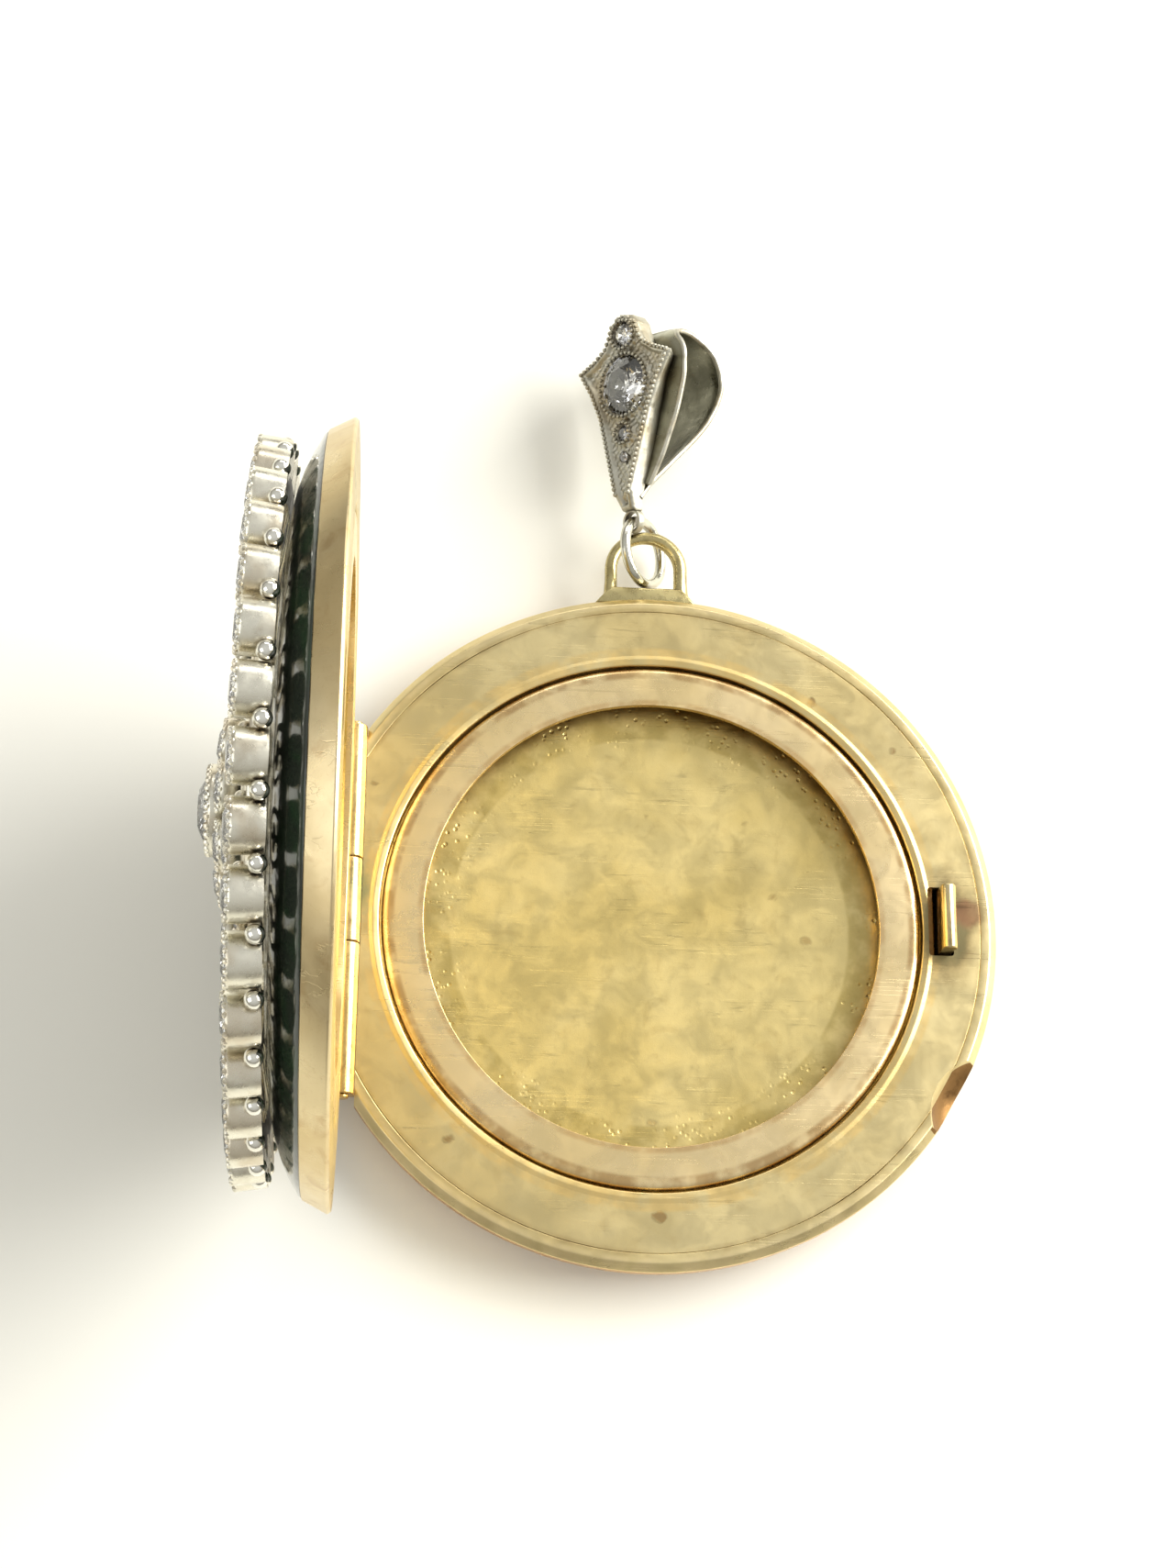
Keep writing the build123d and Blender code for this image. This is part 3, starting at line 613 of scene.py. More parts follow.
def white_metal(name, base, dark, rough, patina, ao_mm, warm=None, shade_colour=srgb(74, 62, 50)):
    t = NT(name)
    mid = t.noise(1.3, 4, 0.6, dist=0.4)
    col = t.mix(t.math("MULTIPLY", t.ramp(mid, 0.48, 0.72), patina), base, dark)
    # painted shade: the colour is darkened towards the given shade colour where the ambient occlusion node finds nearby
    # surfaces, in recesses and in gaps between parts
    occlusion_shade = t.ramp(t.ao(ao_mm), 0.25, 0.85, 1.0, 0.0)
    col = t.mix(t.math("MULTIPLY", occlusion_shade, 0.85), col, shade_colour)
    if warm:
        col = t.mix(t.math("MULTIPLY", t.ramp(t.noise(0.7, 2, 0.5), 0.45, 0.65), 0.5), col, warm)
    t.put(t.b.inputs["Base Color"], col)
    t.b.inputs["Metallic"].default_value = 1.0
    t.put(t.b.inputs["Roughness"], t.ramp(t.noise(2.2, 4, 0.6), 0.3, 0.7, rough[0], rough[1]))
    nrm = t.bump(t.noise(14, 3, 0.6), 0.25, 0.02)
    nrm = t.bump(t.noise(1.7, 2, 0.5), 0.25, 0.08, nrm)
    t.link(nrm, t.b.inputs["Normal"])
    return t.m


# painted shade: every white-metal material below is darkened in recesses and gaps by its occlusion term; the sixth
# number is its reach in mm
PLAT = white_metal("platinum_panel", srgb(234, 230, 214), srgb(192, 180, 156), (0.22, 0.36), 0.40, 0.22, warm=srgb(206, 190, 162), shade_colour=srgb(120, 100, 82))
# painted shade: a darker copy of the panel's platinum for its downward faces
UNDERSIDE_SHADED = white_metal("platinum_underside_painted_shade", srgb(112, 106, 92), srgb(80, 74, 62), (0.35, 0.5), 0.5, 0.6, shade_colour=srgb(40, 36, 30))
# painted highlight, partly: a whiter copy of the platinum, also smoother, so that the border grains read as bright
# spots
PLAT_HIGHLIGHT = white_metal("platinum_bright_highlight", srgb(240, 238, 228), srgb(206, 196, 178), (0.08, 0.16), 0.3, 0.12)
SILV = white_metal("silver_bail", srgb(198, 195, 180), srgb(144, 138, 116), (0.32, 0.46), 0.60, 0.40, warm=srgb(170, 152, 116))
# painted shade: a 3.6 mm occlusion reach and a very dark shade colour darken the inside of the bail's strap
SILV_INSIDE_SHADED = white_metal("silver_bail_inside_painted_shade", srgb(184, 182, 162), srgb(132, 128, 104), (0.26, 0.40), 0.5, 3.6, shade_colour=srgb(64, 62, 46))
LOOPG = white_metal("gold_loop", srgb(194, 180, 130), srgb(146, 128, 80), (0.22, 0.34), 0.6, 1.0, shade_colour=srgb(84, 70, 40))
RINGMAT = white_metal("silver_ring", srgb(214, 212, 198), srgb(168, 162, 136), (0.10, 0.20), 0.45, 0.5)


def enamel():
    t = NT("enamel_green")
    n = t.noise(0.55, 4, 0.6, dist=0.8)
    col = t.mix(t.ramp(n, 0.42, 0.70), srgb(44, 50, 42), srgb(42, 62, 42))
    fl = t.ramp(t.voronoi(1.1), 0.03, 0.07, 1.0, 0.0)
    col = t.mix(t.math("MULTIPLY", fl, 0.35), col, srgb(120, 124, 112))
    t.put(t.b.inputs["Base Color"], col)
    t.b.inputs["Roughness"].default_value = 0.16
    t.b.inputs["IOR"].default_value = 1.55
    t.b.inputs["Coat Weight"].default_value = 0.5
    t.b.inputs["Coat Roughness"].default_value = 0.04
    nrm = t.bump(t.noise(1.2, 2, 0.5), 0.35, 0.12)
    nrm = t.bump(t.noise(11, 2, 0.5), 0.10, 0.02, nrm)
    t.link(nrm, t.b.inputs["Normal"])
    return t.m


def stone_mat(name, tint):
    t = NT(name)
    t.b.inputs["Base Color"].default_value = (*tint, 1)
    t.b.inputs["Transmission Weight"].default_value = 1.0
    t.b.inputs["IOR"].default_value = 2.2
    t.put(t.b.inputs["Roughness"], t.ramp(t.noise(2.0, 2, 0.5), 0.3, 0.7, 0.0, 0.03))
    return t.m


ENAMEL = enamel()
STONE = stone_mat("stone_clear", (0.97, 0.98, 1.0))


def dress(o, m, body, slot, *nodes):
    o.data.materials.clear()
    o.data.materials.append(m)
    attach(o, body)
    if nodes:
        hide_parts(*nodes)
    return o


def wob(x, y, z, r, a, amp=0.02):
    return 0.0, amp * noise.noise(Vector((x * 0.18, y * 0.18, 3.3)))


# ---------------------------------------------------------------- back half
ZT = ZP - GAP                       # 2.55, top of the back half
low = [(0, 0), (11.6, 0)] + [(11.6 + 2.4 * sin(radians(a)), 1.9 - 1.9 * cos(radians(a))) for a in range(5, 90, 5)] + [(14.0, 1.9)]
outer = low + rounded([(14.0, 1.9), (14.0, ZT - 0.30), (13.68, ZT), (13.3, ZT), (13.3, ZT - 0.4), (12.85, ZT - 0.4)], [0, 0.10, 0.14, 0.05, 0, 0])[1:]
inner = [(12.85, 1.90), (13.48, 1.62), (13.30, 1.15), (12.80, 0.70), (12.2, 0.46), (11.6, 0.40), (0, 0.40)]
notch_c = (15.34 * cos(radians(-29.5)), 15.34 * sin(radians(-29.5)), ZT + 1.5)


def clip_chord(o, x=CHORD):
    """Cuts a closed mesh straight at the hinge side and closes it."""
    bm = bmesh.new()
    bm.from_mesh(o.data)
    g = bm.verts[:] + bm.edges[:] + bm.faces[:]
    bmesh.ops.bisect_plane(bm, geom=g, plane_co=(x * S, 0, 0), plane_no=(-1, 0, 0), clear_outer=True, dist=1e-8)
    edges = [e for e in bm.edges if e.is_boundary]
    bmesh.ops.holes_fill(bm, edges=edges, sides=0)
    bmesh.ops.recalc_face_normals(bm, faces=bm.faces)
    bm.to_mesh(o.data)
    bm.free()
    o.data.shade_smooth()
    o.data.set_sharp_from_angle(angle=radians(35))


def rimwob(x, y, z, r, a):
    """The rim is not perfectly round or flat: slight hand-finished unevenness."""
    if r < 12.5:
        return 0.0, 0.0
    return 0.03 * noise.noise(Vector((cos(a) * 2.2, sin(a) * 2.2, 1.0))) * (1 if z > 1.0 else 0), 0.03 * noise.noise(Vector((cos(a) * 1.7, sin(a) * 1.7, 5.0))) * (1 if z > 1.8 else 0)


shell = revolve("back_shell_skin", outer + inner, wobble=rimwob)
clip_chord(shell)
wall = prism("tool", [(CHORD, 0), (CHORD + 0.3, 0), (CHORD + 0.3, 1), (CHORD, 1)], 0, 1)
bpy.data.objects.remove(wall, do_unlink=True)
sph = revolve("tool", [(0, -2.78)] + [(2.78 * cos(radians(a)), 2.78 * sin(radians(a))) for a in range(-84, 90, 6)] + [(0, 2.78)],
              Matrix.Translation(Vector(notch_c)), segs=64)
apply_bool(shell, sph)
# wall that closes the shell at the hinge, inside its outline
hw = []
for k in range(21):
    z = 0.42 + (2.12 - 0.42) * k / 20
    rr_ = 11.6 + 2.4 * sqrt(max(0, 1 - ((1.9 - z) / 1.9) ** 2)) if z < 1.9 else 14.0
    hw.append((z, sqrt(rr_ ** 2 - CHORD ** 2) - 0.05))
pts = [(y, z) for z, y in hw] + [(-y, z) for z, y in reversed(hw)]
hwall = prism("back_hinge_wall", pts, 0, 0.3, mat((CHORD + 0.002, 0, 0), (0, 1, 0), (0, 0, 1), (1, 0, 0)))
dress(shell, OUTER, "back", "gold", "back_shell")
shell.data.materials.append(GOLD)
shell.data.materials.append(RECESS_SHADE)
# painted shade: faces of the notch cut below the rim get the dark recess gold; the top faces get the satin gold
for f in shell.data.polygons:
    near = abs((f.center / S - Vector(notch_c)).length - 2.78) < 0.04
    if near and f.center.z < (ZT - 0.16) * S:
        f.material_index = 2
    elif f.center.z > (ZT - 0.31) * S:
        f.material_index = 1
dress(hwall, OUTER, "back", "gold")

fl_pts = rounded([(13.295, ZT - 0.40), (13.295, ZT - 0.005), (R_LIP + 0.42, ZT - 0.01), (R_LIP + 0.24, ZT + 0.03), (R_LIP - 0.01, ZT - 0.02), (R_LIP - 0.03, ZT - 0.40)],
                 [0.03, 0.02, 0.20, 0.16, 0.10, 0.03], 7)
# extra rings so that the flat can undulate
fl2 = []
for i, p in enumerate(fl_pts):
    fl2.append(p)
    q = fl_pts[(i + 1) % len(fl_pts)]
    if abs(p[0] - q[0]) > 1.0 and p[1] > ZT - 0.2:
        for k in range(1, 8):
            fl2.append((p[0] + (q[0] - p[0]) * k / 8, p[1]))
flange = revolve("back_flange_plate", fl2, segs=320, wobble=lambda x, y, z, r, a: (0.0, 0.018 * noise.noise(Vector((x * 0.22, y * 0.22, 3.3))) + 0.006 * noise.noise(Vector((x, y, 8)))))
clip_chord(flange)
apply_bool(flange, box_obj(11.17, 12.19, 0.36 - 1.43, 0.36 + 1.43, 1.5, 3.5, bevel=0.12))
apply_bool(flange, revolve("tool", [(0, -2.78)] + [(2.78 * cos(radians(a)), 2.78 * sin(radians(a))) for a in range(-84, 90, 6)] + [(0, 2.78)],
                           Matrix.Translation(Vector(notch_c)), segs=64))
dress(flange, GOLD, "back", "gold", "back_flange")


def floor_pts(z0, s, wallz):
    return rounded([(0, z0 - s * 0.25), (R_WALL - 0.3, z0 - s * 0.25), (R_WALL, z0 + s * 0.05), (R_WALL, wallz), (R_LIP + 0.01, wallz), (R_LIP + 0.01, z0 + s * 0.13),
                    (R_LIP - 0.13, z0), (0, z0)], [0, 0.1, 0.1, 0.03, 0.03, 0.10, 0.12, 0])


def dense(pts, z, step=0.45):
    """Adds points along the long flat at height z."""
    out = []
    n = len(pts)
    for i, p in enumerate(pts):
        out.append(p)
        q = pts[(i + 1) % n]
        if abs(p[1] - z) < 1e-6 and abs(q[1] - z) < 1e-6 and abs(p[0] - q[0]) > 2:
            k = int(abs(p[0] - q[0]) / step)
            for j in range(1, k):
                out.append((p[0] + (q[0] - p[0]) * j / k, z))
    return out


def panwob(z0, s):
    def f(x, y, z, r, a):
        dish = (-0.30 + 0.00354 * r * r) if r < 9.2 else 0.0
        if abs(z - z0 + s * 0.25) < 0.01:
            return 0.0, s * dish
        if abs(z - z0) > 0.01:
            return 0.0, 0.0
        d = 0.030 * noise.noise(Vector((x * 0.13, y * 0.13, 1.1))) + 0.006 * noise.noise(Vector((x * 0.5, y * 0.5, 4.2)))
        if r > 6.5:
            d += 0.012 * noise.noise(Vector((x * 2.4, y * 2.4, 2.0))) * min(1, (r - 6.5) / 2)
        return 0.0, s * (d - 0.03 + dish)
    return f


pan = revolve("back_photo_pan", dense(dense(floor_pts(1.45, 1, ZT - 0.41), 1.45, 0.3), 1.20, 0.6), segs=256, wobble=panwob(1.45, 1))
dress(pan, PAN, "back", "gold_pan", "back_floor")


def ring_pts(z0, s):
    return rounded([(RI, z0), (RO + 0.05, z0), (RO + 0.05, z0 - s * 0.98), (RO - 0.32, z0 - s * 0.98), (RO - 0.32, z0 - s * 0.38), (RI + 0.10, z0 - s * 0.38), (RI, z0 - s * 0.24)],
                   [0.035, 0.34, 0.05, 0.05, 0.02, 0.03, 0.03], 8)


fring = revolve("back_frame_ring_turned", ring_pts(ZT, 1), segs=320, wobble=lambda x, y, z, r, a: (0.0, 0.008 * noise.noise(Vector((x * 0.3, y * 0.3, 9)))))
dress(fring, ROSE, "back_frame", "rose_gold", "back_frame_ring")

# hinge
KL, K0, K1, KU = -7.45, -1.35, 2.10, 7.75


def knuckle(name, y0, y1, lid=False):
    s = Soup()
    m = mat((XH, y0, ZP), (1, 0, 0), (0, 0, -1), (0, 1, 0))
    L = y1 - y0
    s.lathe(rounded([(0.235, 0), (0.475, 0), (0.475, L), (0.235, L)], [0.02, 0.05, 0.05, 0.02], 4), m, 40)
    if lid:
        def tl(x, h):
            return (x * ca - h * sa, x * sa + h * ca)
        q = [tl(0.30, 0.14), tl(0.5, 0.14), tl(0.5, 0.45), tl(0.10, 0.45)]
    else:
        q = [(0.10, -0.45), (0.49, -0.45), (0.49, -0.06), (0.42, -0.06)]
    n = len(q)
    v = [(XH + a, y0 + 0.01, ZP + b) for a, b in q] + [(XH + a, y1 - 0.01, ZP + b) for a, b in q]
    f = [tuple(range(n)), tuple(range(n, 2 * n))[::-1]] + [(i, n + i, n + (i + 1) % n, (i + 1) % n) for i in range(n)]
    s.add(v, f)
    return s.build(name)


dress(knuckle("back_hinge_tube_upper", K1 + 0.04, KU), HINGE, "back", "gold", "back_knuckle_upper")
dress(knuckle("back_hinge_tube_lower", KL, K0 - 0.04), HINGE, "back", "gold", "back_knuckle_lower")
dress(knuckle("lid_hinge_tube", K0, K1, True), HINGE, "lid", "gold", "lid_knuckle")
pin = Soup()
pin.lathe(rounded([(0, -0.16), (0.27, -0.16), (0.28, -0.02), (0.20, 0), (0.20, KU - KL), (0.28, KU - KL + 0.02), (0.27, KU - KL + 0.16), (0, KU - KL + 0.16)],
                  [0, 0.1, 0.03, 0, 0, 0.03, 0.1, 0], 4), mat((XH, KL, ZP), (1, 0, 0), (0, 0, -1), (0, 1, 0)), 32)
dress(pin.build("hinge_pin_rod"), HINGE, "back", "gold", "hinge_pin")

# catch tongue: bent spring strip with a small nose
tp = [(11.58, 0.46), (12.40, 0.46), (12.40, 0.72), (12.10, 0.72), (12.10, 3.05), (12.17, 3.16), (12.17, 3.28), (12.10, 3.44), (11.98, 3.54), (11.84, 3.57), (11.72, 3.54), (11.63, 3.46), (11.58, 3.34)]
tong = prism("catch_tongue_strip", tp, 0, 2.67, mat((0, 1.69, 0), (1, 0, 0), (0, 0, 1), (0, -1, 0)), bevel=0.06)
ledge = box_obj(11.15, 11.46, -1.12, 1.84, 2.00, 2.16, bevel=0.04)
ledge.name = "catch_slot_ledge"
# painted shade: the ledge inside the catch slot takes the dark recess gold
dress(ledge, RECESS_SHADE, "back", "gold")
dress(tong, CATCH, "catch", "gold", "catch_tongue")

# top loop
LX, LY, LZ, LR, LW = -0.30, 15.45, 1.93, 1.75, 0.58
loop = Soup()
rm = LR - LW / 2
path = [(LX - rm - 0.10, 13.90, LZ), (LX - rm - 0.02, 14.35, LZ), (LX - rm, 14.9, LZ)]
path += [(LX + rm * cos(radians(a)), LY + rm * sin(radians(a)), LZ) for a in range(180, -1, -6)]
path += [(LX + rm, 14.9, LZ), (LX + rm + 0.02, 14.35, LZ), (LX + rm + 0.10, 13.90, LZ)]
n_ = len(path)
rads = [0.275 + 0.05 * max(0, (1 - i / 2.0)) + 0.05 * max(0, 1 - (n_ - 1 - i) / 2.0) + (0.012 if i > n_ * 0.55 else -0.015) for i in range(n_)]
loop.tube(path, rads, sides=20)
loopo = loop.build("top_loop_wire", sharp=60)
foot = prism("tool", [(LX - 2.15, 13.78), (LX + 2.15, 13.78), (LX + 1.72, 14.28), (LX + 1.45, 14.53), (LX - 1.45, 14.53), (LX - 1.72, 14.28)], LZ - 0.30, LZ + 0.36, bevel=0.10)
apply_bool(loopo, foot, "UNION")
dress(loopo, LOOPG, "back", "gold", "top_loop")

# ---------------------------------------------------------------- suspension
jr = Soup()
N = 96
jpath = [(RR * cos(2 * pi * k / N) * (1 + 0.012 * sin(4 * pi * k / N)), RR * sin(2 * pi * k / N), 0.012 * sin(2 * pi * k / N)) for k in range(N)]
jrad = [RW * (1 + 0.05 * math.exp(-((k - 40) / 1.6) ** 2)) for k in range(N)]
jr.tube(jpath, jrad, RINGM, sides=20, closed=True)
dress(jr.build("jump_ring_wire", sharp=80), RINGMAT, "jump_ring", "white_metal", "jump_ring")

KITE = [(-0.34, 0.42), (0.34, 0.42), (0.62, 1.6), (1.50, 4.6), (2.05, 5.8), (2.70, 6.85), (1.85, 7.20), (1.22, 7.62), (0.97, 8.05), (0.80, 8.50), (0.45, 8.86), (0, 8.97),
        (-0.45, 8.86), (-0.80, 8.50), (-0.97, 8.05), (-1.22, 7.62), (-1.85, 7.20), (-2.70, 6.85), (-2.05, 5.8), (-1.50, 4.6), (-0.62, 1.6)]


def front_z(y):
    return np.interp(y, [0.3, 1.2, 5.0, 8.0, 9.0], [0.24, 0.60, 0.22, 0.10, 0.06])


def back_z(y):
    return np.interp(y, [0.3, 0.9, 5.0, 8.0, 9.0], [-0.20, -0.10, -0.72, -0.86, -0.86])


gx, gy = np.meshgrid(np.linspace(-3.0, 3.0, 121), np.linspace(0.1, 9.3, 185), indexing="ij")


def kite_F(x, y):
    f = sdf_poly(x, y, KITE)
    f = np.maximum(f, -(np.hypot(x, y - 5.85) - 1.22))
    f = np.maximum(f, -(np.hypot(x, y - 8.05) - 0.48))
    f = np.maximum(f, -(np.hypot(x, y - 3.75) - 0.33))
    return f


def kite_top(x, y):
    d = -sdf_poly(x, y, KITE)
    rim = 0.10 * np.clip(1 - np.abs(d - 0.16) / 0.16, 0, 1) ** 0.5
    edge = -0.10 * np.clip(1 - d / 0.08, 0, 1) ** 2
    bez = sum(0.13 * np.clip(1 - np.abs(np.hypot(x, y - c) - r_) / 0.15, 0, 1) ** 0.5 for c, r_ in ((5.85, 1.36), (8.05, 0.60), (3.75, 0.44)))
    tex = 0.05 * (np.sin(x * 19 + np.sin(y * 7)) * np.sin(y * 17)) * np.clip((d - 0.3) / 0.1, 0, 1)
    return front_z(y) - 0.10 * np.clip((d - 0.2) / 0.15, 0, 1) + rim + edge + np.minimum(bez, 0.2) + tex


plate = isoplate("bail_front_kite", gx, gy, kite_F, kite_top, lambda x, y: back_z(y), BAIL,
                 squeeze=lambda x, y: (x * np.interp(y, [0, 2, 6, 9], [1.0, 0.95, 0.72, 0.8]), y), sharp=50)
extra = Soup()
# eye
extra.lathe(rounded([(0.385, -0.17), (0.51, -0.17), (0.51, 0.17), (0.385, 0.17)], 0.05, 3), BAIL, 40)
# millegrain along the outline
perim = []
kk = [Vector((x, y)) for x, y in KITE]
tot = 0
for i in range(len(kk)):
    a, b = kk[i], kk[(i + 1) % len(kk)]
    L = (b - a).length
    steps = max(1, round(L / 0.225))
    for s_ in range(steps):
        p = a + (b - a) * (s_ / steps)
        q = Vector((p.x * (1 - 0.13 / max(0.5, abs(p.x))) if abs(p.x) > 0.4 else p.x, p.y - (0.13 if p.y > 8.6 else 0)))
        if q.y > 0.9:
            perim.append(q)
for q in perim:
    extra.bead((q.x, q.y, float(front_z(q.y)) + 0.09), 0.105, BAIL, 8, 5)
for c, r_, k_ in ((5.85, 1.36, 36), (8.05, 0.62, 18), (3.75, 0.45, 14)):
    for i in range(k_):
        a = 2 * pi * i / k_
        extra.bead((r_ * cos(a), c + r_ * sin(a), float(front_z(c)) + 0.16 - (r_ * sin(a)) * 0.05), 0.085, BAIL, 8, 5)
mg = extra.build("bail_front_millegrain")
dress(plate, SILV, "bail", "white_metal", "bail_plate")
dress(mg, SILV, "bail", "white_metal")
g = Soup()
g.gem((0, 5.85, 0.17), 1.27, BAIL, crown=0.28, pav=0.50, turn=0.2)
dress(g.build("bail_large_stone", smooth=False), STONE, "bail", "stone", "bail_large_diamond")
g = Soup()
g.gem((0, 8.05, 0.12), 0.54, BAIL, crown=0.30, pav=0.6)
g.gem((0, 3.75, 0.33), 0.38, BAIL, crown=0.30, pav=0.6, turn=0.3)
g.gem((0, 2.72, 0.46), 0.24, BAIL, crown=0.35, pav=0.5)
dress(g.build("bail_small_stones", smooth=False), STONE, "bail", "stone", "bail_small_diamonds")

# strap: ribbon that bulges behind the kite and runs back up to its top
mid = catmull([(0.95, -0.02), (1.65, -0.62), (2.6, -1.62), (4.0, -2.98), (5.3, -3.75), (6.4, -3.86), (7.4, -3.36), (8.0, -2.45), (8.12, -1.62), (7.75, -1.02), (6.6, -0.92),
               (5.0, -0.84), (3.0, -0.56), (1.5, -0.28)], 9)
ws = lambda y: float(np.interp(y, [0.5, 1.6, 2.8, 4.4, 6.0, 7.2, 8.3], [0.42, 0.50, 0.85, 1.45, 1.80, 1.85, 1.65]))
th, nx = 0.26, 14


def wr(i, p):
    f = min(1, max(0, (i / len(mid) - 0.62) / 0.12))       # 0 on the back of the loop, 1 behind the plate
    front = float(np.interp(p.x, [1.4, 2.8, 4.4, 6.0, 7.4, 8.2], [0.75, 1.42, 2.05, 2.50, 2.55, 2.1]))
    return ws(p.x) * (1 - f) + front * f


V, F = [], []
for i, p in enumerate(mid):
    t_ = (mid[min(i + 1, len(mid) - 1)] - mid[max(i - 1, 0)]).normalized()
    nrm_ = Vector((-t_.y, t_.x))
    w = wr(i, p)
    for side in (0, 1):
        for j in range(nx + 1):
            u = -1 + 2 * j / nx
            dish = 0.10 * (1 - u * u) * (1 if i < len(mid) * 0.62 else 0)
            e = th / 2 * (1 - 0.55 * max(0, abs(u) - 0.85) / 0.15)
            off = (e if side == 0 else -e) - dish
            q = p + nrm_ * off
            V.append((u * w, q.x, q.y))
M_ = 2 * (nx + 1)
for i in range(len(mid) - 1):
    for j in range(nx):
        a = i * M_ + j
        F.append((a, a + 1, a + 1 + M_, a + M_))
        b = i * M_ + nx + 1 + j
        F.append((b, b + M_, b + 1 + M_, b + 1))
    for j in (0, nx):
        a, b = i * M_ + j, i * M_ + nx + 1 + j
        F.append((a, a + M_, b + M_, b))
for i in (0, len(mid) - 1):
    F.append(tuple([i * M_ + j for j in range(nx + 1)] + [i * M_ + nx + 1 + j for j in range(nx, -1, -1)]))
dress(make("bail_strap_ribbon", V, F, BAIL, sharp=50), SILV_INSIDE_SHADED, "bail", "white_metal", "bail_strap")
rim_s = Soup()
for sgn in (1, -1):
    rim_s.tube([(sgn * (wr(i, p) - 0.03), p.x, p.y) for i, p in enumerate(mid)], 0.115, BAIL, sides=10)
dress(rim_s.build("bail_strap_edges", sharp=80), SILV, "bail", "white_metal")

# ---------------------------------------------------------------- lid
lo = rounded([(13.3, GAP), (13.9, GAP), (14.0, GAP + 0.12), (13.54, 1.05), (13.47, 1.08), (13.12, 1.06)], [0.04, 0.06, 0.08, 0.03, 0.02, 0], 4)
dome_o = [(13.12, 0.92), (12.6, 1.22), (12.0, 1.50), (11.35, 1.74), (10.2, 1.95), (9.0, 2.08), (6.8, 2.22), (4.6, 2.30), (2.3, 2.355), (0, 2.37)]
dome_i = [(0, 2.02), (2.3, 2.01), (4.5, 1.96), (6.8, 1.86), (8.95, 1.72), (10.1, 1.60), (11.15, 1.42), (12.0, 1.12), (12.75, 0.72), (12.85, 0.70), (12.85, 0.45), (13.3, 0.45)]
lshell = revolve("lid_rim_and_dome", lo + dome_o + dome_i, LID, wobble=lambda x, y, z, r, a: ((0.02 * noise.noise(Vector((cos(a) * 2, sin(a) * 2, 7))), 0.02 * noise.noise(Vector((cos(a) * 2, sin(a) * 2, 3)))) if r > 13.2 else (0, 0)))
apply_bool(lshell, box_obj(-15.5, CHORD, -8.6, 8.6, -0.6, 0.62, LID))
lw = prism("lid_hinge_wall", [(CHORD + 0.001, -6.7), (CHORD + 0.3, -6.7), (CHORD + 0.3, 6.7), (CHORD + 0.001, 6.7)], GAP, 1.05, LID, bevel=0.03)
dress(lshell, BAND, "lid", "gold", "lid_shell")
dress(lw, BAND, "lid", "gold")

dome_e = [(13.45, 1.09), (13.40, 1.18), (13.2, 1.30), (12.8, 1.54), (12.25, 1.79), (11.6, 2.02), (10.9, 2.18), (10.0, 2.31), (9.0, 2.42), (7.0, 2.55), (4.6, 2.64), (2.3, 2.69), (0, 2.70)]
en = revolve("lid_enamel_dome", [(13.13, 1.085), (13.125, 0.925)] + [(r, z + 0.003) for r, z in dome_o[1:]] + dome_e[::-1], LID,
             wobble=lambda x, y, z, r, a: (0.0, 0.02 * noise.noise(Vector((x * 0.4, y * 0.4, 2)))) if z > 1.2 else (0, 0))
dress(en, ENAMEL, "lid", "enamel", "lid_enamel")

lf = revolve("lid_flange_plate", rounded([(13.27, GAP + 0.40), (13.27, GAP + 0.01), (R_LIP + 0.42, GAP + 0.01), (R_LIP + 0.24, GAP - 0.02), (R_LIP + 0.02, GAP + 0.03), (R_LIP, GAP + 0.40)],
                                         [0.03, 0.05, 0.1, 0.1, 0.10, 0.03], 5), LID, segs=320)
apply_bool(lf, box_obj(-15.5, CHORD + 0.3, -8.6, 8.6, -0.6, 1.0, LID))
apply_bool(lf, box_obj(11.295, 12.345, 0.36 - 1.5, 0.36 + 1.5, -0.6, 1.0, LID, bevel=0.12))
dress(lf, GOLD, "lid", "gold", "lid_flange")
dress(revolve("lid_photo_pan", dense(dense(floor_pts(1.15, -1, GAP + 0.41), 1.15, 0.3), 1.40, 0.6), LID, wobble=panwob(1.15, -1)), PAN, "lid", "gold_pan", "lid_floor")
dress(revolve("lid_frame_ring_turned", ring_pts(GAP, -1), LID, segs=320), ROSE, "lid_frame", "rose_gold", "lid_frame_ring")

# ---- stone-set panel
def dome_top(r):
    return np.interp(r, [0, 3.0, 6.0, 9.0, 11.2, 11.6, 13.2], [3.42, 3.38, 3.20, 2.90, 2.56, 2.46, 2.42])


def dome_bot(r):
    return np.interp(r, [0, 3.0, 6.0, 9.0, 11.5, 13.2], [3.06, 3.00, 2.84, 2.56, 2.16, 2.12])


def rep(x, y, n, phase=0.0):
    """Folds the plane into one of n equal sectors, centred on +x."""
    a = np.arctan2(y, x) - phase
    w = 2 * pi / n
    a = (a + w / 2) % w - w / 2
    r = np.hypot(x, y)
    return r * np.cos(a), r * np.sin(a)


